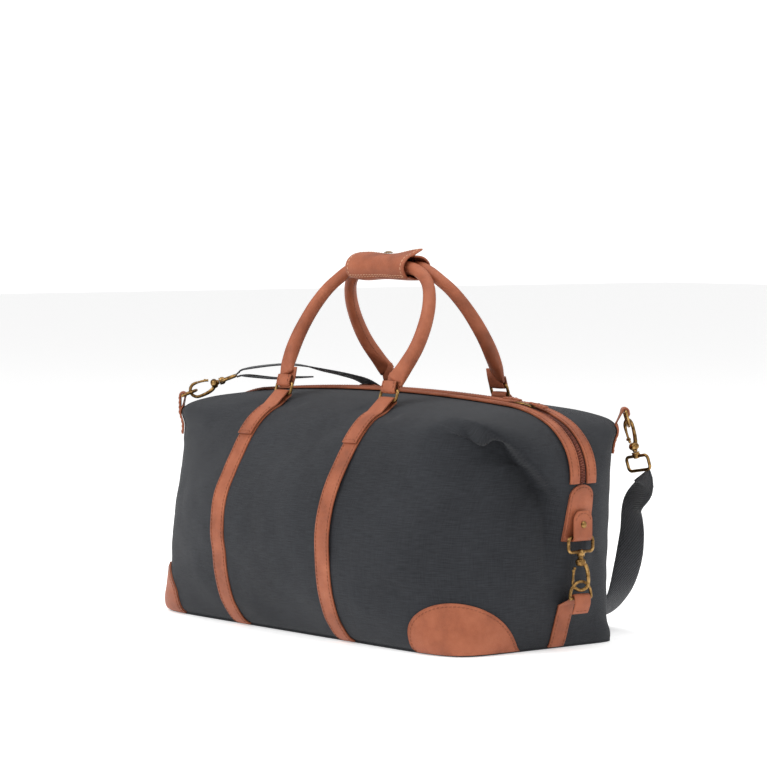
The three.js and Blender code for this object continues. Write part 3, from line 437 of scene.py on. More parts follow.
BAND_SHAPE = [(-1, 0.2), (-0.97, 0), (-0.6, 0), (-0.2, 0), (0.2, 0), (0.6, 0), (0.97, 0), (1, 0.2), (1, 0.72),
              (0.985, 0.93), (0.95, 1), (0.8, 1.0), (0.55, 1.1), (0.2, 1.14), (-0.2, 1.14), (-0.55, 1.1),
              (-0.8, 1.0), (-0.95, 1), (-0.985, 0.93), (-1, 0.72)]


def band(name, rows, width, thick, material):
    """A flat strip: rows of centre, across, normal and an optional width share."""
    sections = []
    for centre, across, normal, share in rows:
        half = width / 2 * share
        sections.append([centre + across * (u * half) + normal * (v * thick) for u, v in BAND_SHAPE])
    return skin(name, sections, material)


def join(name, pieces):
    """Several pieces as one object; they keep their own materials."""
    bpy.ops.object.select_all(action="DESELECT")
    for piece in pieces:
        piece.select_set(True)
    bpy.context.view_layer.objects.active = pieces[0]
    bpy.ops.object.join()
    pieces[0].name = name
    return pieces[0]


def smooth_out(piece):
    """Subdivides a piece so that its outline is round."""
    modifier = piece.modifiers.new("round", "SUBSURF")
    modifier.levels = 1
    modifier.render_levels = 1
    return piece


STITCH_LENGTH = 3.3
STITCH_PITCH = 4.6
THREAD_RADIUS = 0.42
# A thread from end to end: place along it, and share of its radius.
THREAD = [(-0.5, 0.15), (-0.42, 0.75), (-0.15, 1.0), (0.15, 1.0), (0.42, 0.75), (0.5, 0.15)]
THREAD_SIDES = 6


def stitch_line(name, path, normals, material):
    """A row of sewn threads sunk a little into the leather along a path."""
    path = np.asarray(path, float)
    normals = np.asarray(normals, float)
    gone = distances(path)
    count = int(gone[-1] / STITCH_PITCH)
    points, faces, uvs = [], [], []
    sides = THREAD_SIDES
    for i in range(count):
        middle = (i + 0.5) * gone[-1] / count
        ends = [np.array([np.interp(middle + d, gone, path[:, k]) for k in range(3)]) for d in (-1.5, 1.5)]
        normal = unit(np.array([np.interp(middle, gone, normals[:, k]) for k in range(3)]))
        along = unit(ends[1] - ends[0])
        across = unit(np.cross(normal, along))
        slant = along + across * 0.12
        centre = (ends[0] + ends[1]) / 2
        base = len(points)
        for u, r in THREAD:
            for j in range(sides):
                a = 2 * math.pi * j / sides
                points.append(centre + slant * (u * STITCH_LENGTH)
                              + THREAD_RADIUS * r * (across * 1.25 * math.cos(a) + normal * math.sin(a)))
                uvs.append((a, u))
        for row in range(len(THREAD) - 1):
            faces += wall(base + row * sides, base + (row + 1) * sides, sides)
        faces.append(tuple(base + j for j in reversed(range(sides))))
        faces.append(tuple(base + (len(THREAD) - 1) * sides + j for j in range(sides)))
    return mesh_object(name, points, faces, uvs, material)


def band_stitches(name, rows, offset, height, material, start=0, stop=None):
    """Stitches along a strip, at an offset across it and a height over its under face."""
    kept = rows[start:stop]
    path = [centre + across * offset + normal * height for centre, across, normal, _ in kept]
    return stitch_line(name, path, [row[2] for row in kept], material)


def edge_stitches(rows, offset, height, *spans):
    """Stitches by both edges of a strip, over each span of its rows."""
    return [band_stitches("sewing", rows, side * offset, height, TAN_THREAD, *span)
            for side in (-1, 1) for span in spans]


def cross_stitches(row, reach):
    """Stitches across a strip at one of its rows."""
    centre, across, out, _ = row
    line = [centre + across * u + out * SEWN for u in np.linspace(-reach, reach, 8)]
    return stitch_line("sewing", line, [out] * 8, TAN_THREAD)


def bend(centre, start, over, across, radius, steps=12):
    """Rows of a strip bent half way round a bar: from start, by way of over, to the far side."""
    ways = [start * math.cos(a) + over * math.sin(a) for a in np.linspace(0, math.pi, steps + 1)]
    return [(centre + way * radius, across, way, 1.0) for way in ways]


# ------------------------------------------------------------------ materials
def new_material(name, colour, roughness, metallic=0.0):
    """A material with its node tree and shader."""
    material = bpy.data.materials.new(name)
    material.use_nodes = True
    shader = material.node_tree.nodes["Principled BSDF"]
    shader.inputs["Base Color"].default_value = (*colour, 1)
    shader.inputs["Roughness"].default_value = roughness
    shader.inputs["Metallic"].default_value = metallic
    return material, material.node_tree, shader


def linear(red, green, blue):
    """A colour given in 8-bit sRGB, as the linear values the shader wants."""
    return tuple(((c / 255 + 0.055) / 1.055) ** 2.4 if c > 10 else c / 255 / 12.92
                 for c in (red, green, blue))


def coordinates(tree, kind, scale):
    """Texture coordinates of a kind, scaled: UV is in millimetres, Object in metres."""
    source = tree.nodes.new("ShaderNodeTexCoord")
    mapping = tree.nodes.new("ShaderNodeMapping")
    mapping.inputs["Scale"].default_value = scale
    tree.links.new(source.outputs[kind], mapping.inputs["Vector"])
    return mapping.outputs["Vector"]


def noise_node(tree, kind, scale, detail=3.0, roughness=0.55):
    """Noise with features about one unit apart in the scaled coordinates."""
    node = tree.nodes.new("ShaderNodeTexNoise")
    node.inputs["Scale"].default_value = 1.0
    node.inputs["Detail"].default_value = detail
    node.inputs["Roughness"].default_value = roughness
    tree.links.new(coordinates(tree, kind, scale), node.inputs["Vector"])
    return node.outputs["Fac"]


def ramp(tree, value, stops):
    """A colour ramp: stops are positions and colours."""
    node = tree.nodes.new("ShaderNodeValToRGB")
    elements = node.color_ramp.elements
    while len(elements) < len(stops):
        elements.new(0.5)
    for element, (position, colour) in zip(elements, stops):
        element.position = position
        element.color = (*colour, 1)
    tree.links.new(value, node.inputs["Fac"])
    return node.outputs["Color"]


def maths(tree, operation, first, second):
    """A sum, product or other operation on two values or sockets."""
    node = tree.nodes.new("ShaderNodeMath")
    node.operation = operation
    for socket, value in zip(node.inputs, (first, second)):
        if isinstance(value, (int, float)):
            socket.default_value = value
        else:
            tree.links.new(value, socket)
    return node.outputs["Value"]


def weighted(tree, *terms):
    """The sum of values, each times its weight."""
    total = None
    for value, weight in terms:
        part = maths(tree, "MULTIPLY", value, weight)
        total = part if total is None else maths(tree, "ADD", total, part)
    return total


def mix(tree, share, first, second):
    """A colour that goes from the first to the second as share goes from 0 to 1."""
    node = tree.nodes.new("ShaderNodeMix")
    node.data_type = "RGBA"
    for socket, value in ((node.inputs[0], share), (node.inputs[6], first), (node.inputs[7], second)):
        if isinstance(value, (int, float)):
            socket.default_value = value
        elif isinstance(value, tuple):
            socket.default_value = (*value, 1)
        else:
            tree.links.new(value, socket)
    return node.outputs[2]


def bump(tree, shader, height, distance, strength=1.0):
    """Relief of the shader's surface, of that depth in metres."""
    node = tree.nodes.new("ShaderNodeBump")
    node.inputs["Strength"].default_value = strength
    node.inputs["Distance"].default_value = distance
    tree.links.new(height, node.inputs["Height"])
    tree.links.new(node.outputs["Normal"], shader.inputs["Normal"])


def threads(tree, vector, axis):
    """Sine ridges one unit apart along an axis of the vector."""
    node = tree.nodes.new("ShaderNodeTexWave")
    node.wave_type = "BANDS"
    node.bands_direction = axis
    node.inputs["Scale"].default_value = 1.0
    node.inputs["Distortion"].default_value = 0.6
    node.inputs["Detail"].default_value = 1.0
    tree.links.new(vector, node.inputs["Vector"])
    return node.outputs["Fac"]


THREAD_RELIEF = 0.00022         # metres


def woven(name, dark, light, pitch):
    """Plain weave with slubs: ridges both ways, threads of uneven weight and tone, and painted shade in the
    weave's grooves.
    """
    material, tree, shader = new_material(name, light, 0.92)
    ridges = 0.314 / pitch
    warp = threads(tree, coordinates(tree, "UV", (ridges, ridges, 1)), "X")
    weft = threads(tree, coordinates(tree, "UV", (ridges, ridges, 1)), "Y")
    slub = noise_node(tree, "UV", (0.06, 0.9, 1), 4.0)
    fleck = noise_node(tree, "UV", (0.9, 0.05, 1), 3.0)
    fade = noise_node(tree, "Object", (9, 9, 9), 2.0)
    shade = weighted(tree, (slub, 0.5), (fleck, 0.25), (fade, 0.25))
    colour = ramp(tree, shade, [(0.36, dark), (0.62, light)])
    # Painted shade: the colour is darkened where the warp and weft bands are both high, standing in for shade
    # in the weave's grooves.
    groove_shade = maths(tree, "MINIMUM", warp, weft)
    colour = mix(tree, maths(tree, "MULTIPLY", groove_shade, 0.35), colour, dark)
    tree.links.new(colour, shader.inputs["Base Color"])
    weave = maths(tree, "MULTIPLY", warp, weft)
    bump(tree, shader, weighted(tree, (weave, 1.0), (slub, 1.2)), THREAD_RELIEF)
    shader.inputs["Sheen Weight"].default_value = 0.08
    shader.inputs["Sheen Roughness"].default_value = 0.45
    shader.inputs["Specular IOR Level"].default_value = 0.2
    return material


def leather(name, dark, mid, light, roughness=0.52):
    """Vegetable-tanned leather: mottled colour, fine pebble grain and faint creases."""
    material, tree, shader = new_material(name, mid, roughness)
    mottle = noise_node(tree, "Object", (28, 28, 28), 4.0, 0.6)
    pores = noise_node(tree, "Object", (700, 700, 700), 3.0, 0.6)
    colour = ramp(tree, mottle, [(0.3, dark), (0.5, mid), (0.72, light)])
    colour = mix(tree, maths(tree, "MULTIPLY", pores, 0.22), colour, dark)
    tree.links.new(colour, shader.inputs["Base Color"])
    cells = tree.nodes.new("ShaderNodeTexVoronoi")
    cells.feature = "DISTANCE_TO_EDGE"
    cells.inputs["Scale"].default_value = 1.0
    tree.links.new(coordinates(tree, "Object", (620, 620, 620)), cells.inputs["Vector"])
    pebble = maths(tree, "MINIMUM", cells.outputs["Distance"], 0.16)
    creases = noise_node(tree, "Object", (120, 120, 120), 5.0, 0.65)
    bump(tree, shader, weighted(tree, (pebble, 2.4), (creases, 1.0)), 0.0005, 0.75)
    gloss = maths(tree, "ADD", maths(tree, "MULTIPLY", creases, 0.22), roughness - 0.1)
    tree.links.new(gloss, shader.inputs["Roughness"])
    shader.inputs["Specular IOR Level"].default_value = 0.36
    return material


def antique_brass(name):
    """Brass with brown and rubbed-bright patches laid at random, not in its hollows and handled places."""
    material, tree, shader = new_material(name, (0.3, 0.2, 0.09), 0.34, 1.0)
    patina = noise_node(tree, "Object", (160, 160, 160), 5.0, 0.65)
    fine = noise_node(tree, "Object", (900, 900, 900), 2.0)
    colour = ramp(tree, patina, [(0.34, linear(72, 52, 30)), (0.52, linear(146, 112, 66)),
                                 (0.74, linear(196, 160, 104))])
    tree.links.new(colour, shader.inputs["Base Color"])
    tree.links.new(maths(tree, "SUBTRACT", 0.62, maths(tree, "MULTIPLY", patina, 0.5)),
                   shader.inputs["Roughness"])
    bump(tree, shader, fine, 0.0001, 0.35)
    return material


def ribbed_webbing(name):
    """Herringbone webbing, drawn as fine diagonal ribs that all lean one way, over cords along it."""
    material, tree, shader = new_material(name, linear(44, 45, 48), 0.85)
    ribs = threads(tree, coordinates(tree, "UV", (0.24, 0.12, 1)), "DIAGONAL")
    cords = threads(tree, coordinates(tree, "UV", (0.3, 0.3, 1)), "X")
    shade = noise_node(tree, "UV", (0.2, 0.9, 1), 3.0)
    shade = weighted(tree, (ribs, 0.4), (shade, 0.6))
    colour = ramp(tree, shade, [(0.3, linear(28, 29, 32)), (0.75, linear(62, 64, 69))])
    tree.links.new(colour, shader.inputs["Base Color"])
    bump(tree, shader, maths(tree, "ADD", ribs, cords), 0.0003)
    shader.inputs["Sheen Weight"].default_value = 0.25
    shader.inputs["Specular IOR Level"].default_value = 0.35
    return material


CANVAS = woven("charcoal_canvas", linear(34, 35, 38), linear(52, 54, 58), 1.15)
LINING = woven("lining_cloth", linear(38, 38, 40), linear(54, 54, 57), 0.7)
TAN = leather("tan_leather", linear(128, 68, 42), linear(156, 86, 56), linear(174, 102, 70))
TAN_THREAD = leather("tan_thread", linear(112, 60, 38), linear(130, 72, 46), linear(148, 86, 58), 0.6)
PALE_THREAD = leather("pale_thread", linear(186, 142, 112), linear(204, 164, 134), linear(216, 180, 150), 0.6)
BRASS = antique_brass("antique_brass")
WEBBING = ribbed_webbing("charcoal_webbing")
ZIP_TAPE = woven("zip_tape", linear(84, 42, 30), linear(112, 58, 42), 0.6)
ZIP_COIL = leather("zip_coil", linear(92, 44, 32), linear(122, 62, 45), linear(150, 84, 62), 0.4)
BOARD = woven("board", linear(34, 34, 35), linear(46, 46, 47), 1.0)


# ------------------------------------------------------------------ canvas shell
ROUND_STEPS = 420
HEIGHT_STEPS = 150


def canvas_shell():
    """One lofted skin from the base seam up to the ridge, sculpted by the relief."""
    angles = np.linspace(0, 2 * math.pi, ROUND_STEPS, endpoint=False)
    angles = angles + 0.16 * np.sin(2 * angles)
    heights = np.linspace(0, TOP_RING, HEIGHT_STEPS + 1)
    grid = np.array([[form_point(phi, t) for phi in angles] for t in heights])
    du = np.roll(grid, -1, axis=1) - np.roll(grid, 1, axis=1)
    dv = np.gradient(grid, axis=0)
    normals = np.cross(du, dv)
    normals /= np.maximum(np.linalg.norm(normals, axis=2), 1e-6)[:, :, None]
    flat = grid.reshape(-1, 3)
    moved = flat + normals.reshape(-1, 3) * relief(flat)[:, None]
    rim = grid[0] - [0, 0, 2.6]
    bottom = lerp(vec(0, SPINE_Y, 0.5), rim, 0.985)
    points = np.concatenate([moved, rim, bottom, [vec(0, SPINE_Y, 0.5)]])
    faces = []
    for i in range(HEIGHT_STEPS):
        faces += wall(i * ROUND_STEPS, (i + 1) * ROUND_STEPS, ROUND_STEPS)
    rim_start = len(moved)
    bottom_start = rim_start + ROUND_STEPS
    centre = bottom_start + ROUND_STEPS
    faces += wall(rim_start, 0, ROUND_STEPS) + wall(bottom_start, rim_start, ROUND_STEPS)
    for j in range(ROUND_STEPS):
        faces.append((centre, bottom_start + (j + 1) % ROUND_STEPS, bottom_start + j))
    # The cloth's own coordinates: along the bag, and up the wall.
    around = distances(grid[60])
    up = distances(grid[:, ROUND_STEPS * 3 // 4])
    uvs = [(around[j], up[i]) for i in range(HEIGHT_STEPS + 1) for j in range(ROUND_STEPS)]
    uvs += [(around[j], -2.6) for j in range(ROUND_STEPS)] + [(around[j], -5) for j in range(ROUND_STEPS)]
    uvs.append((0, -200))
    return mesh_object("canvas_shell", points, faces, uvs, CANVAS)


def base_cover():
    """The flat bottom, with its bound edge a little proud of the walls."""
    shape = [(0.965, 0.0), (0.99, 0.15), (1.0, 0.9), (1.001, 1.8), (0.996, 2.7), (0.97, 3.0)]
    rim = np.array([form_point(phi, 0) for phi in np.linspace(0, 2 * math.pi, 260, endpoint=False)])
    sections = []
    for share, z in shape:
        loop = lerp(vec(0, SPINE_Y, 0), rim, share)
        loop[:, 2] = z
        sections.append(loop)
    return skin("base_cover", sections, CANVAS)


place(canvas_shell(), "bag", "canvas", "front_panel", "back_panel")
place(base_cover(), "bag", "canvas", "base_panel")


# ------------------------------------------------------------------ leather patches
def patch(name, outline, centre, at, lift, thick, rings=14):
    """A patch on the surface: puffed, thinned to its edge where it is sewn down."""
    top, under = [], []
    for r in range(rings + 1):
        share = r / rings
        edge = smooth((share - 0.9) / 0.1)
        for u, v in outline:
            point, normal = at(lerp(centre[0], u, share), lerp(centre[1], v, share))
            top.append(point + normal * (lift + thick * (1.08 - 0.3 * edge)))
            under.append(point + normal * lift)
    count = len(outline)
    points = np.array(top + under)
    uvs = [(lerp(centre[0], u, r / rings), lerp(centre[1], v, r / rings))
           for r in range(rings + 1) for u, v in outline] * 2
    faces = []
    shift = len(top)
    for r in range(rings):
        low, high = r * count, (r + 1) * count
        faces += wall(low, high, count) + wall(shift + high, shift + low, count)
    faces += wall(shift + rings * count, rings * count, count)
    return mesh_object(name, points, outward(points, faces), uvs, TAN)


CORNER_HALF = 66.0
CORNER_HIGH = 54.0
CORNER_ANGLE = 40.5


def corner_patch(hand, end):
    """The half-round patch over a front lower corner, with its sewing."""
    phi = math.radians(-CORNER_ANGLE if end > 0 else 180 + CORNER_ANGLE)
    at = lambda u, v: corner_point(phi, 270, u, max(v, 0) + 3.2)
    arc = [(CORNER_HALF * math.cos(a), CORNER_HIGH * math.sin(a)) for a in np.linspace(0, math.pi, 40)]
    flat = [(lerp(-CORNER_HALF, CORNER_HALF, i / 20), 0) for i in range(1, 20)]
    piece = patch(f"corner_{hand}_leather", arc + flat, (0, 18), at, 0.6, 2.3)
    row, normals = [], []
    for a in np.linspace(0.03, math.pi - 0.03, 70):
        point, normal = at((CORNER_HALF - 3.6) * math.cos(a), (CORNER_HIGH - 3.6) * math.sin(a))
        row.append(point + normal * 3.05)
        normals.append(normal)
    piece = join(f"corner_{hand}_leather", [piece, stitch_line("sewing", row, normals, TAN_THREAD)])
    place(piece, "bag", "leather", f"corner_patch_{hand}")


for hand, end in HANDS.items():
    corner_patch(hand, end)


# ------------------------------------------------------------------ straps, rings, handles
STRAP_TOP = 254.0
LOOP_LIFT = 6.0
RING_HIGH = 13.0
RING_HALF = 14.2


def ring_frame(side):
    """The strap's way up, its normal, the ring's lower bar and the ring's lean, at x = STRAP_X."""
    plain = lambda z: vec(STRAP_X, SPINE_Y + side * depth_at(STRAP_X, z, side), z)
    along = unit((plain(STRAP_TOP) - plain(STRAP_TOP - 4)) * [0, 1, 1])
    normal = vec(0, along[2] * side, -along[1] * side)
    if normal[2] < 0:
        normal = -normal
    bar = plain(STRAP_TOP) + along * 9 + normal * LOOP_LIFT
    return along, normal, bar, vec(0, -side * 0.3, 0.954)


def rounded_loop(centre, across, along, half_width, half_height, radius, steps=7):
    """A rectangle with round corners, as a closed row of points."""
    points = []
    for sx, sy, quarter in ((1, 1, 0), (-1, 1, 1), (-1, -1, 2), (1, -1, 3)):
        for i in range(steps):
            a = (quarter + i / (steps - 1)) * math.pi / 2
            u = sx * (half_width - radius) + radius * math.cos(a)
            v = sy * (half_height - radius) + radius * math.sin(a)
            points.append(centre + across * u + along * v)
    return np.array(points)


def handle_strap(face, side, hand, sideways):
    """A strap sewn up the panel, round its ring, and back down as a short tongue."""
    x0 = sideways * STRAP_X
    along, normal, bar, _ = ring_frame(side)
    across = vec(1, 0, 0)
    rows = []
    top_index = ring_index(STRAP_X, STRAP_TOP - 2)
    for i in range(70):
        height = ring_at(lerp(0.02, top_index, i / 69))[0]
        z = height - end_drop(STRAP_X, height)
        point, out = face_point(x0, z, side, 0.5)
        rows.append((point, across, out, 1.0))
    sewn_up = len(rows)
    centre = bar * [0, 1, 1] + [x0, 0, 0]
    rows += bend(centre, -normal, along, across, RING_GAP)
    for i in range(12):
        z = lerp(STRAP_TOP - 5, STRAP_TOP - 37, i / 11)
        point, out = face_point(x0, z, side, LEATHER + 1.1)
        rows.append((point, across, out, 1.0 if i < 9 else 0.985))
    name = f"strap_{face}_{hand}_leather"
    parts = [band(name, rows, STRAP_WIDTH, LEATHER, TAN)]
    parts += edge_stitches(rows, STRAP_WIDTH / 2 - 2.6, SEWN, (0, sewn_up - 11), (sewn_up + 14,))
    parts.append(cross_stitches(rows[-2], 9))
    place(join(name, parts), "bag", "leather", f"strap_{face}_{hand}")


ARCH = [(0, 409), (25, 409), (47, 408.6), (63, 404.5), (78, 396), (92, 383), (103, 364), (109, 342),
        (110, 320), (105, 298), (99, 284)]


def handle_path(side):
    """A handle's middle line from foot to foot, its rings' upper bar and their lean."""
    _, _, bar, lean = ring_frame(side)
    upper = bar + lean * RING_HIGH
    grip_y = 12 + side * 7.4
    base_y = upper[1] - side * 4
    base_z = upper[2] + 12
    leg = []
    for x, z in ARCH:
        share = clamp01((z - base_z) / (400 - base_z)) ** 0.9
        leg.append(vec(x, lerp(base_y, grip_y, share), z))
    left_leg = [p * [-1, 1, 1] for p in leg[:0:-1]]
    return spline(left_leg + leg, 150), upper, lean


OVAL_SIDES = 28


def oval(centre, across, depth, a, b, square):
    """A section of a grip: an ellipse, squarer as square grows past 2."""
    points = []
    for j in range(OVAL_SIDES):
        angle = 2 * math.pi * (j + 0.5) / OVAL_SIDES
        c, s = math.cos(angle), math.sin(angle)
        r = (abs(c) ** square + abs(s) ** square) ** (-1 / square)
        points.append(centre + across * (a * r * c) + depth * (b * r * s))
    return points


def handle_tab(side, upper, lean, ring_x, last):
    """The flat end of a handle: down, round the ring's upper bar and back up inside."""
    out = unit(vec(0, side * lean[2], -side * lean[1]))
    bar = upper * [0, 1, 1] + [ring_x, 0, 0]
    radius = RING_WIRE + 0.4 + LEATHER / 2
    across = vec(1, 0, 0)
    rows = [(last + out * 0.3, across, out, 1.0), (bar + out * radius + lean * 9, across, out, 1.0)]
    rows += bend(bar, out, -lean, across, radius, 8)
    rows.append((bar - out * radius + lean * 8, across, -out, 1.0))
    rows.append((bar - out * (radius - 0.3) + lean * 20, across, -out, 0.9))
    centred = [(p - n * LEATHER / 2, a, n, s) for p, a, n, s in rows]
    return band("tab", centred, 23.4, LEATHER, TAN), centred


def handle(face, side):
    """A rolled grip that flattens to a tongue at each ring, with its seam inside."""
    path, upper, lean = handle_path(side)
    along = tangents(path)
    gone = distances(path)
    sections, seam, seam_normals = [], [], []
    for p, t, g in zip(path, along, gone):
        from_end = min(g, gone[-1] - g)
        flare = clamp01(1 - from_end / 36)
        radius = lerp(7.0, 8.3, clamp01(1 - (from_end - 40) / 90))
        a, b = lerp(radius, 12.6, flare ** 1.3), lerp(radius, 2.6, flare ** 1.3)
        depth = unit(vec(0, side, 0) - t * (side * t[1]))
        across = np.cross(depth, t)
        wobble = 1 + 0.018 * noise.noise(Vector(p * 0.045))
        sections.append(oval(p, across, depth, a * wobble, b * wobble, lerp(2, 3.4, flare)))
        inside = unit(vec(0, SPINE_Y, 330) - p)
        inside = unit(inside - t * (inside @ t))
        seam.append(p + (across * (inside @ across) * a + depth * (inside @ depth) * b) * 1.02)
        seam_normals.append(inside)
    name = f"handle_{face}_leather"
    parts = [skin(name, sections, TAN)]
    parts.append(stitch_line("sewing", seam[6:-6], seam_normals[6:-6], TAN_THREAD))
    for sideways, last in ((-1, path[0]), (1, path[-1])):
        tab, rows = handle_tab(side, upper, lean, sideways * STRAP_X, last)
        parts.append(tab)
        parts += edge_stitches(rows, 9.2, LEATHER + 0.25, (0, 3))
    place(join(name, parts), f"{face}_handle", "leather", f"handle_{face}")


for face, side in SIDES.items():
    _, _, ring_bar, ring_lean = ring_frame(side)
    for hand, sideways in HANDS.items():
        handle_strap(face, side, hand, sideways)
        middle = ring_bar * [0, 1, 1] + [sideways * STRAP_X, 0, 0] + ring_lean * RING_HIGH / 2
        loop = rounded_loop(middle, vec(1, 0, 0), ring_lean, RING_HALF, RING_HIGH / 2, 3)
        ring = tube(f"ring_{face}_{hand}_brass", loop, RING_WIRE, BRASS, True,
                    hint=unit(np.cross(vec(1, 0, 0), ring_lean)))
        place(ring, f"{face}_handle", "brass", f"ring_{face}_{hand}")
    handle(face, side)


# ------------------------------------------------------------------ wrap round the grips
WRAP_HALF = 52.0
WRAP_Y = 12.0
WRAP_Z = GRIP_Z - 0.5


WRAP_THICK = 1.9


def wrap_sheet(name, start, stop, grow, flare):
    """A curved leather sheet round both grips; angle 0 is at the back, 90 on top."""
    columns, steps = 44, 56
    layers = []
    for extra in (0.0, WRAP_THICK):
        layer = []
        for i in range(columns + 1):
            share = i / columns
            x = lerp(-WRAP_HALF, WRAP_HALF, share)
            bulge = 1.6 * math.exp(-((share - 0.12) / 0.16) ** 2) + 0.8 * math.sin(share * 9)
            row = []
            for j in range(steps + 1):
                part = j / steps
                angle = math.radians(lerp(start, stop, part))
                reach = grow + extra + bulge * 0.6
                lift = flare * max(0, part - 0.82) * 5.5 * smooth((share - 0.55) / 0.45)
                tip = 4.0 * flare / 8 * smooth((part - 0.75) / 0.25) * smooth((share - 0.7) / 0.3)
                row.append(vec(x + tip, WRAP_Y + (17.2 + reach) * math.cos(angle),
                               WRAP_Z + (12 + reach) * math.sin(angle) + lift))
            layer.append(row)
        layers.append(np.array(layer))
    inner, outer = layers
    size = (columns + 1) * (steps + 1)
    number = np.arange(2 * size).reshape(2, columns + 1, steps + 1)

    def quads(a, b, c, d):
        return np.stack([part.ravel() for part in (a, b, c, d)], axis=1).tolist()

    low, high = number
    faces = quads(high[:-1, :-1], high[:-1, 1:], high[1:, 1:], high[1:, :-1])
    faces += quads(low[1:, :-1], low[1:, 1:], low[:-1, 1:], low[:-1, :-1])
    faces += quads(low[:-1, 0], high[:-1, 0], high[1:, 0], low[1:, 0])
    faces += quads(high[:-1, -1], low[:-1, -1], low[1:, -1], high[1:, -1])
    faces += quads(high[0, :-1], low[0, :-1], low[0, 1:], high[0, 1:])
    faces += quads(low[-1, :-1], high[-1, :-1], high[-1, 1:], low[-1, 1:])
    points = np.concatenate([inner.reshape(-1, 3), outer.reshape(-1, 3)])
    uvs = [(i * 2.4, j * 1.6) for i in range(columns + 1) for j in range(steps + 1)] * 2
    piece = mesh_object(name, points, outward(points, faces), uvs, TAN)
    return piece, outer


def edge_sewing(outer, rows, columns, lift, material):
    """Stitches on a sheet's outer layer along chosen rows and columns."""
    parts = []
    du = np.gradient(outer, axis=0)
    dv = np.gradient(outer, axis=1)
    normals = np.cross(du, dv)
    normals /= np.linalg.norm(normals, axis=2)[:, :, None]
    middle = outer.reshape(-1, 3).mean(axis=0)
    if ((outer - middle) * normals).sum() < 0:
        normals = -normals
    lines = [(slice(2, -2), j) for j in rows] + [(i, slice(2, -2)) for i in columns]
    for line in lines:
        parts.append(stitch_line("sewing", outer[line] + normals[line] * lift, normals[line], material))
    return parts


wrap, _ = wrap_sheet("wrap_leather", -128, 100, 0, 0)
place(wrap, "back_handle", "leather", "handle_wrap")
flap, flap_outer = wrap_sheet("flap_leather", 226, 76, 2.4, 6)
flap_sewing = edge_sewing(flap_outer, (3, 6, -3), (2, -3), 0.1, PALE_THREAD)
place(join("flap_leather", [flap] + flap_sewing), "wrap_flap", "leather", "wrap_flap")
stud_low, stud_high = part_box("wrap_stud_cap")
stud_foot = vec((stud_low[0] + stud_high[0]) / 2, (stud_low[1] + stud_high[1]) / 2, stud_low[2]) / MM
STUD = [(0, 0), (4.6, 0), (5, 0.4), (4.9, 0.9), (4.2, 1.2), (3.6, 1.2), (3.2, 1.8), (1.5, 2.1), (0, 2.1)]
stud = turned("wrap_stud_brass", STUD, stud_foot, UP, BRASS)
place(stud, "wrap_flap", "brass", "wrap_stud_cap")


# ------------------------------------------------------------------ zip
def zip_line(count):
    """The line of the zip: from the right end patch over the ridge to the left one."""
    start = ring_index(310, 182)
    fine = [form_point(0, lerp(start, TOP_RING, i / 60)) for i in range(60)]
    for i in range(61):
        x = 226 * lerp(1, -1, i / 60)
        fine.append(vec(x, SPINE_Y, 268 - end_drop(x, 268)))
    fine += [form_point(math.pi, lerp(TOP_RING, start, i / 60)) for i in range(1, 61)]
    path = spline(np.array(fine), count)
    path[:, 1] = SPINE_Y
    along = tangents(path)
    normals = np.stack([along[:, 2], 0 * along[:, 0], -along[:, 0]], axis=1)
    return path, along, normals


def zip_rows(offset, lift):
    """Rows of a strip that follows the zip, offset to a side and lifted."""
    path, _, normals = zip_line(300)
    return [(p + n * lift + vec(0, offset, 0), vec(0, 1, 0), n, 1.0) for p, n in zip(path, normals)]


def zip_trims():
    """The leather bindings on both sides of the zip."""
    for face, side in SIDES.items():
        rows = zip_rows(side * (ZIP_HALF + 0.3 + TRIM_WIDTH / 2), 0.5)
        parts = [band(f"trim_{face}_leather", rows, TRIM_WIDTH, 2.3, TAN)]
        parts += edge_stitches(rows, TRIM_WIDTH / 2 - 2.4, 2.55, (3, -3))
        place(join(f"trim_{face}_leather", parts), "bag", "leather", f"zip_trim_{face}")


TEETH = 520
# Sections of a tooth along the zip: place, half width and height.
TOOTH = [(-0.95, 0.5, 0.35), (-0.5, 1.45, 0.75), (0.5, 1.45, 0.75), (0.95, 0.5, 0.35)]


def zip_teeth():
    """Tape with a coil of interlocked teeth down its middle."""
    rows = zip_rows(0, -0.8)
    tape = band("zip_tape", rows, 2 * ZIP_HALF - 0.3, 1.0, ZIP_TAPE)
    path, along, normals = zip_line(900)
    points, faces, uvs = [], [], []
    where = np.linspace(0, len(path) - 1, TEETH)
    for number, w in enumerate(where):
        i = min(int(w), len(path) - 1)
        side = 1 if number % 2 else -1
        centre = path[i] + normals[i] * 0.75 + vec(0, side * 1.15, 0)
        base = len(points)
        for u, half, high in TOOTH:
            for y, v in ((-half, -0.5), (half, -0.5), (half, high * 0.6), (half * 0.5, high),
                         (-half * 0.5, high), (-half, high * 0.6)):
                points.append(centre + along[i] * u * 0.72 + vec(0, y, 0) + normals[i] * v)
                uvs.append((y, u))
        for row in range(3):
            faces += wall(base + row * 6, base + row * 6 + 6, 6)
        faces.append(tuple(base + j for j in reversed(range(6))))
        faces.append(tuple(base + 18 + j for j in range(6)))
    teeth = mesh_object("teeth", points, faces, uvs, ZIP_COIL)
    place(join("zip_chain_teeth", [tape, teeth]), "bag", "zip", "zip_chain")


zip_trims()
zip_teeth()

ZIP_COUNT = 401
SLIDERS = {"left": (0.196, 1), "right": (0.176, -1)}
# Sections of a slider's body: place, half width and top; and of a pull: place and width share.
SLIDER_BODY = [(-7, 2.4, 1.2), (-6.2, 3.6, 2), (-3, 3.9, 2.5), (0, 4.1, 2.6), (4, 4.2, 2.5),
               (6.4, 3.9, 1.9), (7, 3, 1.1)]
PULL = [(0.5, 0.5), (3, 0.55), (6, 0.58), (8.5, 0.9), (12, 1.0), (17, 1.0), (22, 1.0), (25, 0.96),
        (26, 0.82)]


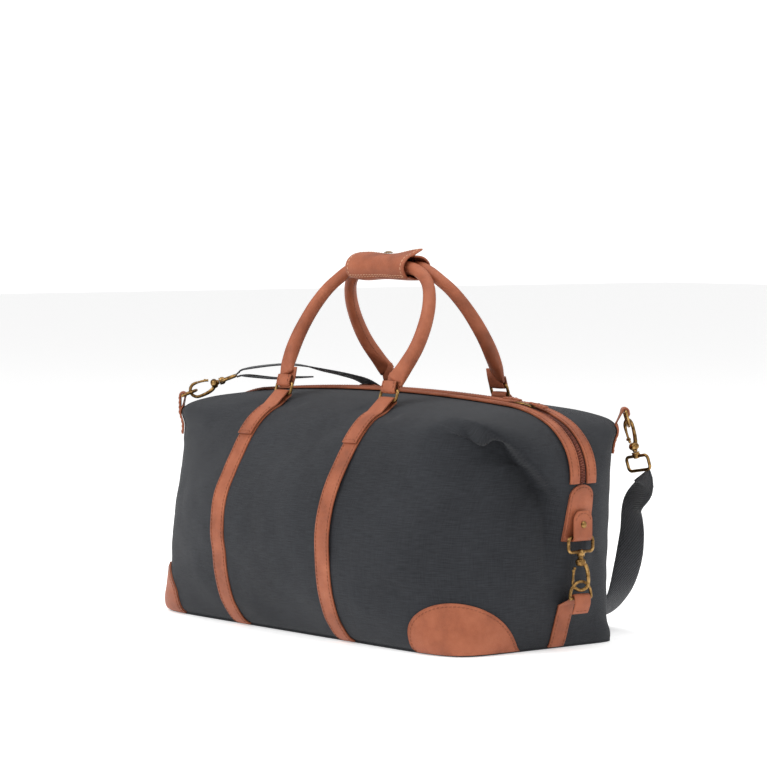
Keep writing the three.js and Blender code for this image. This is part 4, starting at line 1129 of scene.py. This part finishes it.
def zip_slider(hand):
    """A die-cast slider's body, and a leather pull that lies along the zip."""
    share, way = SLIDERS[hand]
    path, along, normals = zip_line(ZIP_COUNT)
    i = round(share * (ZIP_COUNT - 1))
    at, out = path[i] + normals[i] * 2.4, normals[i]
    ahead = along[i] * way
    sections = []
    for u, half, top in SLIDER_BODY:
        ring = [(-half, 0), (half, 0), (half * 1.02, top * 0.55), (half * 0.8, top), (-half * 0.8, top),
                (-half * 1.02, top * 0.55)]
        sections.append([at + ahead * u + vec(0, y, 0) + out * v for y, v in ring])
    body = smooth_out(skin(f"slider_{hand}_brass", sections, BRASS))
    place(body, f"slider_{hand}", "brass", f"zip_slider_{hand}")
    rows = []
    for u, width in PULL:
        rows.append((at + ahead * u + out * (3.1 + 0.35 * math.sin(u / 8)), vec(0, 1, 0), out, width))
    parts = [band(f"pull_{hand}_leather", rows, 9.2, 1.7, TAN)]
    parts += edge_stitches(rows, 3.2, 1.95, (3, -1))
    place(join(f"pull_{hand}_leather", parts), f"pull_{hand}", "leather", f"zip_pull_{hand}")


for hand in HANDS:
    zip_slider(hand)


# ------------------------------------------------------------------ snap hooks and D-rings
EYE_HALF_WIDTH = 17.5
EYE_HALF_HEIGHT = 8.0
EYE_NEAR = 5.0                  # from the swivel to the eye's nearer bar
EYE_BAR_Z = 124.5
HOOK_REACH = 28.0
HOOK_ROUND = 8.2
RING_REACH = 15.0

# Turned outlines of a hook's pieces: radius, and height along the axis.
COLLAR = [(0, -7.6), (2.6, -7.5), (3.6, -6.4), (4.4, -5), (4.5, -3), (4.1, -2), (4.5, -1),
          (4.2, -0.5), (0, -0.4)]
KNUCKLE = [(0, 0.1), (2.4, 0.1), (2.8, 1.2), (3.2, 2.2), (5.0, 3.6), (5.7, 5.4), (5.5, 7.2), (4.4, 9.2),
           (2.6, 10.3), (0, 10.5)]
THUMB = [(0, -2.3), (1.3, -2.2), (1.6, -1.6), (1.6, 1.6), (1.3, 2.2), (0, 2.3)]
RIVET = [(0, 0), (3.4, 0), (3.8, 0.3), (3.6, 0.9), (2.6, 1.4), (1.2, 1.65), (0, 1.7)]
# The way that the bar of each hook's eye points, before it is squared to the hook.
EYE_BARS = {"end_hook_left": vec(0, 1, 0), "end_hook_right": vec(0, 1, 0),
            "strap_hook_left": vec(0.78, -0.63, 0), "strap_hook_right": vec(1, 0, 0)}
JOINTS = {joint["name"]: joint for joint in frame["joints"]}


def joint_line(name):
    """A joint's place in millimetres and the unit vector along its axis."""
    joint = JOINTS[name]
    return vec(*joint["pos_m"]) / MM, unit(vec(*joint["axis"]))


END_OUT = joint_line("end_ring_right_tilt")[0][0]
END_BAR_Z = joint_line("end_ring_right_tilt")[0][2]


def snap_hook(name):
    """Eye and collar, swivelling knuckle with its hook, and a sprung gate."""
    origin, down = joint_line(f"{name}_swivel")
    _, gate_axis = joint_line(f"{name}_gate_press")
    body_across = np.cross(gate_axis, down)
    eye_across = unit(EYE_BARS[name] - down * (EYE_BARS[name] @ down))
    at = lambda across, u, v: origin + across * u + down * v
    eye_loop = rounded_loop(at(eye_across, 0, -EYE_NEAR - EYE_HALF_HEIGHT), eye_across, down, EYE_HALF_WIDTH,
                            EYE_HALF_HEIGHT, 4.5)
    eye = tube("eye", eye_loop, HOOK_WIRE, BRASS, True, hint=unit(np.cross(eye_across, down)))
    collar = turned("collar", COLLAR, origin, down, BRASS)
    place(join(f"{name}_eye_brass", [eye, collar]), "bag", "brass", f"{name}_eye")
    knuckle = turned("knuckle", KNUCKLE, origin, down, BRASS)
    arm = [at(body_across, u, v) for u, v in ((1.5, 6), (5.4, 10), (7.4, 16), (HOOK_ROUND, 23))]
    for i in range(9):
        a = math.pi * i / 8
        arm.append(at(body_across, HOOK_ROUND * math.cos(a), HOOK_REACH + HOOK_ROUND * math.sin(a)))
    arm.append(at(body_across, -HOOK_ROUND, 24.6))
    arm = spline(arm, 60)
    weight = [lerp(2.4, 1.9, smooth(i / 30)) if i < 52 else lerp(1.9, 1.5, (i - 52) / 8) for i in range(60)]
    hook = tube("arm", arm, weight, BRASS)
    place(join(f"{name}_hook_brass", [knuckle, hook]), name, "brass", f"{name}_body")
    gate = [at(body_across, -u, v) for u, v in ((6, 11.6), (7, 15), (7.8, 20), (HOOK_ROUND, 24.3))]
    gate = spline(gate, 24)
    lever = tube("lever", gate, np.interp(range(24), [0, 3, 20, 23], [1.7, 1.5, 1.35, 1.5]), BRASS)
    thumb_side = np.cross(body_across, down)
    thumb = turned("thumb", THUMB, at(body_across, -7.6, 15.5), thumb_side, BRASS, 18)
    place(join(f"{name}_gate_brass", [lever, thumb]), f"{name}_gate", "brass", f"{name}_gate")


def d_ring(name, bar, across, up, height):
    """A D-ring: a straight bar and a bow of that height."""
    points = []
    for i in range(25):
        a = math.pi * i / 24
        points.append(bar + across * (RING_REACH * math.cos(a)) + up * (height * math.sin(a) ** 0.8))
    points += [bar + across * u for u in (-10, -4, 4, 10)]
    path = spline(points, 90, True)
    ring = tube(f"{name}_brass", path, RING_WIRE, BRASS, True, hint=unit(np.cross(across, up)))
    place(ring, name, "brass", name)


def strap_ring(hand):
    """The bar of a strap's D-ring, the line across it and the way to its hook."""
    bar, across = joint_line(f"strap_ring_{hand}_tilt")
    return bar, across, -joint_line(f"strap_hook_{hand}_swivel")[1]


for name in EYE_BARS:
    snap_hook(name)
for hand in HANDS:
    d_ring(f"strap_ring_{hand}", *strap_ring(hand), 17.0)
for hand in HANDS:
    d_ring(f"end_ring_{hand}", *joint_line(f"end_ring_{hand}_tilt"), UP, 17.5)


# ------------------------------------------------------------------ fittings on the ends
def end_patch(hand, end):
    """The leather patch at the zip's foot, wider below, with its sewing."""
    at = lambda y, z: end_point(y, z, end)
    outline = []
    for a in np.linspace(0, math.pi, 26):
        outline.append((SPINE_Y + 16.5 * math.cos(a), 168 + 13 * math.sin(a)))
    outline += [(SPINE_Y - lerp(16.5, 19.5, i / 14), lerp(168, 120, i / 14)) for i in range(1, 15)]
    outline += [(SPINE_Y + lerp(-19.5, 19.5, i / 14), 120) for i in range(1, 15)]
    outline += [(SPINE_Y + lerp(19.5, 16.5, i / 14), lerp(120, 168, i / 14)) for i in range(1, 14)]
    piece = patch(f"end_{hand}_patch_leather", outline, (SPINE_Y, 146), at, 0.7, 2.2, 12)
    row, normals = [], []
    for y, z in outline[:56] + outline[:1]:
        if z < 121:
            continue
        point, normal = at(SPINE_Y + (y - SPINE_Y) * 0.85, 146 + (z - 146) * 0.92)
        row.append(point + normal * 3.15)
        normals.append(normal)
    rim = stitch_line("sewing", row[:26 + 13], normals[:26 + 13], TAN_THREAD)
    place(join(f"end_{hand}_patch_leather", [piece, rim]), "bag", "leather", f"end_patch_{hand}")


def hook_loop(hand, end):
    """A leather tongue folded round the hook's eye and riveted to the patch."""
    across = vec(0, 1, 0)
    outer = HOOK_WIRE + 0.5 + LEATHER
    bar = vec(end * END_OUT, SPINE_Y, EYE_BAR_Z)
    rows = [(p, a, -n, s) for p, a, n, s in bend(bar, vec(-end, 0, 0), -UP, across, outer)]
    out_x = END_OUT + outer
    for z in np.linspace(127, 153, 14):
        share = 1.0 if z < 142 else math.sqrt(max(0.0, 1 - ((z - 142) / 12.5) ** 2))
        rows.append((vec(end * out_x, SPINE_Y, z), across, vec(-end, 0, 0), max(share, 0.3)))
    parts = [band(f"end_{hand}_loop_leather", rows, 26, LEATHER, TAN)]
    row = []
    for a in np.linspace(0.1, math.pi - 0.1, 22):
        row.append(vec(end * (out_x + 0.15), SPINE_Y + 10.6 * math.cos(a), 141 + 9.2 * math.sin(a)))
    parts.append(stitch_line("sewing", row, [vec(end, 0, 0)] * len(row), TAN_THREAD))
    place(join(f"end_{hand}_loop_leather", parts), "bag", "leather", f"hook_loop_{hand}")
    rivet = turned(f"end_{hand}_rivet_brass", RIVET, vec(end * (out_x + 0.2), SPINE_Y, 138),
                   vec(end, 0, 0), BRASS)
    place(rivet, "bag", "brass", f"loop_rivet_{hand}")


def end_strap(hand, end):
    """The short strap that rises from the base and folds over the D-ring's bar."""
    across = vec(0, 1, 0)
    rows = []
    for i in range(24):
        z = lerp(3.4, END_BAR_Z - 9, i / 23)
        point, normal = end_point(SPINE_Y, z, end, 0.6)
        rows.append((point, across, normal, 1.0))
    sewn_up = len(rows)
    out = vec(end, 0, 0)
    bar = vec(end * END_OUT, SPINE_Y, END_BAR_Z)
    rows += bend(bar, -out, UP, across, RING_GAP)
    for drop, shift in ((6, 0), (10, -1.2), (14, -3), (17, -4.6)):
        rows.append((bar + out * (RING_GAP + shift) - UP * drop, across, out, 1.0))
    name = f"end_{hand}_strap_leather"
    parts = [band(name, rows, 22, LEATHER, TAN)]
    parts += edge_stitches(rows, 8.6, SEWN, (0, sewn_up - 5))
    parts.append(cross_stitches(rows[-2], 8.5))
    place(join(name, parts), "bag", "leather", f"end_strap_{hand}")


for hand, end in HANDS.items():
    end_patch(hand, end)
    hook_loop(hand, end)
    end_strap(hand, end)


# ------------------------------------------------------------------ shoulder strap
WEBBING_WIDTH = 30
WEBBING_THICK = 1.6
TAB_TONGUES = {"left": 22, "right": 5}
TAB_LOW, TAB_TOP, TAB_HALF = 209, 241, 11


def outermost_phi(out, z):
    """The angle round the form that reaches furthest in a direction, at a height."""
    t = ring_index(250, z)
    angles = np.arange(0, 2 * math.pi, 0.01)
    return float(max(angles, key=lambda phi: form_point(phi, t) @ out))


def shoulder_tab(hand, end):
    """A leather tab sewn to a top corner and folded over its D-ring's bar."""
    out = unit(vec(end * 0.62, end * 0.785, 0))
    phi = outermost_phi(out, 235)
    bar, side, _ = strap_ring(hand)
    rows = []
    for i in range(22):
        z = lerp(TAB_LOW, TAB_TOP, i / 21)
        low, normal = corner_point(phi, 250, -TAB_HALF, z, 1.2)
        high, _ = corner_point(phi, 250, TAB_HALF, z, 1.2)
        across = high - low
        rows.append(((low + high) / 2, unit(across), normal, np.linalg.norm(across) / TAB_HALF / 2))
    turn = 1 if rows[0][1] @ side > 0 else -1
    rows = [(c, a * turn, out, s) for c, a, n, s in rows]
    sewn_up = len(rows)
    rows += bend(bar, -out, UP, side, RING_GAP)
    for drop in np.linspace(2, TAB_TONGUES[hand], 6):
        rows.append((bar + out * RING_GAP - UP * drop, side, out, 1.0))
    name = f"tab_{hand}_leather"
    parts = [band(name, rows, 2 * TAB_HALF, LEATHER, TAN)]
    parts += edge_stitches(rows, 8.4, LEATHER + 0.25, (sewn_up + 12,), (0, sewn_up - 6))
    place(join(name, parts), "bag", "leather", f"strap_tab_{hand}")


for hand, end in HANDS.items():
    shoulder_tab(hand, end)


def eye_end(hand, inward):
    """The far bar of a strap hook's eye, moved back towards the hook's ring or on past it."""
    way = strap_ring(hand)[2]
    return joint_line(f"strap_hook_{hand}_swivel")[0] + way * (EYE_NEAR + 2 * EYE_HALF_HEIGHT + inward), way


LEFT_END, LEFT_WAY = eye_end("left", 3.6)
RIGHT_END, RIGHT_WAY = eye_end("right", 4.8)
# The strap's route: points on its under face, each with the way its back looks.
ROUTE = [
    (LEFT_END + UP, (-0.3, -0.3, 1)), (LEFT_END + LEFT_WAY * 9 + UP * 3, (-0.3, -0.3, 1)),
    ((-196, 4, 290), (-0.1, -0.1, 1)), ((-180, 24, 289), (0, 0, 1)), ((-166, 48, 283), (0, 0.2, 1)),
    ((-158, 74, 277), (0, 0.35, 1)), ((-154, 100, 269), (0, 0.6, 0.9)), ((-153, 126, 252), (0, 0.9, 0.5)),
    ((-152, 149, 224), (0, 1, 0.2)), ((-150, 165, 180), (0, 1, 0)), ((-146, 170, 130), (0.1, 1, 0)),
    ((-136, 174, 80), (0.7, 0.7, 0.1)), ((-118, 178, 40), (0.9, 0.1, 0.35)), ((-88, 180, 14), (0.35, 0, 0.9)),
    ((-48, 180, 5), (0.1, 0, 1)), ((10, 180, 4), (0, 0, 1)), ((70, 180, 4), (0, 0, 1)),
    ((130, 180, 5), (-0.1, 0, 1)), ((175, 179, 14), (-0.35, 0, 0.9)), ((207, 177, 38), (-0.8, 0.1, 0.5)),
    ((228, 172, 74), (-0.8, 0.6, 0.2)), ((248, 160, 112), (-0.4, 0.9, 0)), ((264, 146, 148), (-0.1, 1, 0)),
    (RIGHT_END + RIGHT_WAY * 14, (0.1, 1, 0)), (RIGHT_END, (0.1, 1, 0)),
]
RETURN = [
    (LEFT_END - UP * 3, (-0.3, -0.3, 1)), (LEFT_END + LEFT_WAY * 9 - UP * 5, (-0.3, -0.3, 1)),
    ((-203, 2, 273.5), (0, 0, 1)), ((-188, 20, 274.5), (0, 0, 1)), ((-176, 38, 275), (0, 0.1, 1)),
]


def route_rows(route, count, lift=0.0, start=0.0, stop=1.0):
    """Rows of a strip along a route, or along the part of it between two shares."""
    both = np.array([np.concatenate([p, n]) for p, n in route])
    path = spline(both, 400)
    window = np.linspace(start * 399, stop * 399, count)
    picked = np.stack([np.interp(window, range(400), path[:, k]) for k in range(6)], axis=1)
    along = tangents(picked[:, :3])
    rows = []
    for point, hint, t in zip(picked[:, :3], picked[:, 3:], along):
        normal = unit(hint - t * (hint @ t))
        rows.append((point + normal * lift, np.cross(t, normal), normal, 1.0))
    return rows


main = band("webbing_main", route_rows(ROUTE, 260), WEBBING_WIDTH, WEBBING_THICK, WEBBING)
place(main, "bag", "webbing", "shoulder_webbing")
doubled = band("webbing_return", route_rows(RETURN, 50), WEBBING_WIDTH, WEBBING_THICK, WEBBING)
place(doubled, "bag", "webbing", "shoulder_webbing_return")
pad_rows = route_rows(ROUTE, 70, -6, 0.175, 0.32)
for i, (centre, across, normal, _) in enumerate(pad_rows):
    taper = 1 - min(1, i / 8, (69 - i) / 8)
    pad_rows[i] = (centre, across, normal, 1 - 0.35 * taper ** 2)
pad_parts = [band("pad_leather", pad_rows, 46, 4.6, TAN)]
for face_height in (-0.15, 4.8):
    pad_parts += edge_stitches(pad_rows, 18.5, face_height, (4, -4))
cushion = join("pad_leather", pad_parts)
place(cushion, "bag", "leather", "shoulder_pad")

for name, material in (("base_board", BOARD), ("inner_pocket", LINING)):
    node = frame["nodes"][name]
    node.data.materials.clear()
    node.data.materials.append(material)


# ------------------------------------------------------------------ camera, floor and light
def look_along(thing, direction):
    """Turns a camera or a light to face a direction."""
    thing.rotation_euler = Vector(direction).to_track_quat("-Z", "Y").to_euler()


CAMERA_DISTANCE = 3.6
CAMERA_TURN = math.radians(51.148)
CAMERA_RISE = math.radians(7.390)
LOOK_TURN = math.radians(51.091)
LOOK_DOWN = math.radians(2.995)
LENS = 146.98
camera = bpy.data.objects.new("camera", bpy.data.cameras.new("camera"))
bpy.context.scene.collection.objects.link(camera)
camera.location = Vector((math.sin(CAMERA_TURN) * math.cos(CAMERA_RISE),
                          -math.cos(CAMERA_TURN) * math.cos(CAMERA_RISE),
                          math.sin(CAMERA_RISE))) * CAMERA_DISTANCE
look_along(camera, (-math.sin(LOOK_TURN) * math.cos(LOOK_DOWN), math.cos(LOOK_TURN) * math.cos(LOOK_DOWN),
                    -math.sin(LOOK_DOWN)))
camera.data.lens = LENS
camera.data.sensor_width = 36
camera.data.clip_end = 50
bpy.context.scene.camera = camera


def studio_floor():
    """A wide pale floor."""
    size = 14
    mesh = bpy.data.meshes.new("floor")
    corners = [(-size, -size, 0), (size, -size, 0), (size, size, 0), (-size, size, 0)]
    mesh.from_pydata(corners, [], [(0, 1, 2, 3)])
    material, _, shader = new_material("floor_white", (0.93, 0.93, 0.93), 0.9)
    shader.inputs["Specular IOR Level"].default_value = 0.1
    shader.inputs["Emission Color"].default_value = (1, 1, 1, 1)
    shader.inputs["Emission Strength"].default_value = 0.42
    mesh.materials.append(material)
    floor = bpy.data.objects.new("floor", mesh)
    bpy.context.scene.collection.objects.link(floor)


def area_light(name, location, target, size, power):
    """A soft rectangular light that faces a target."""
    data = bpy.data.lights.new(name, "AREA")
    data.shape = "RECTANGLE"
    data.size, data.size_y = size
    data.energy = power
    light = bpy.data.objects.new(name, data)
    light.location = location
    look_along(light, Vector(target) - Vector(location))
    bpy.context.scene.collection.objects.link(light)


studio_floor()
area_light("key", (-0.6, -2.6, 2.6), (0, 0, 0.15), (2.2, 1.6), 62)
area_light("top", (0.2, 0.3, 3.0), (0, 0, 0.1), (3.2, 3.2), 55)
area_light("side", (3.2, 0.6, 1.6), (0.2, 0, 0.2), (1.6, 1.6), 18)
world = bpy.data.worlds.new("studio")
world.use_nodes = True
background = world.node_tree.nodes["Background"]
background.inputs["Color"].default_value = (1, 1, 1, 1)
seen = world.node_tree.nodes.new("ShaderNodeLightPath")
strength = world.node_tree.nodes.new("ShaderNodeMapRange")
strength.inputs["To Min"].default_value = 0.55
strength.inputs["To Max"].default_value = 1.2
world.node_tree.links.new(seen.outputs["Is Camera Ray"], strength.inputs["Value"])
world.node_tree.links.new(strength.outputs["Result"], background.inputs["Strength"])
bpy.context.scene.world = world
bpy.context.scene.view_settings.view_transform = "Standard"
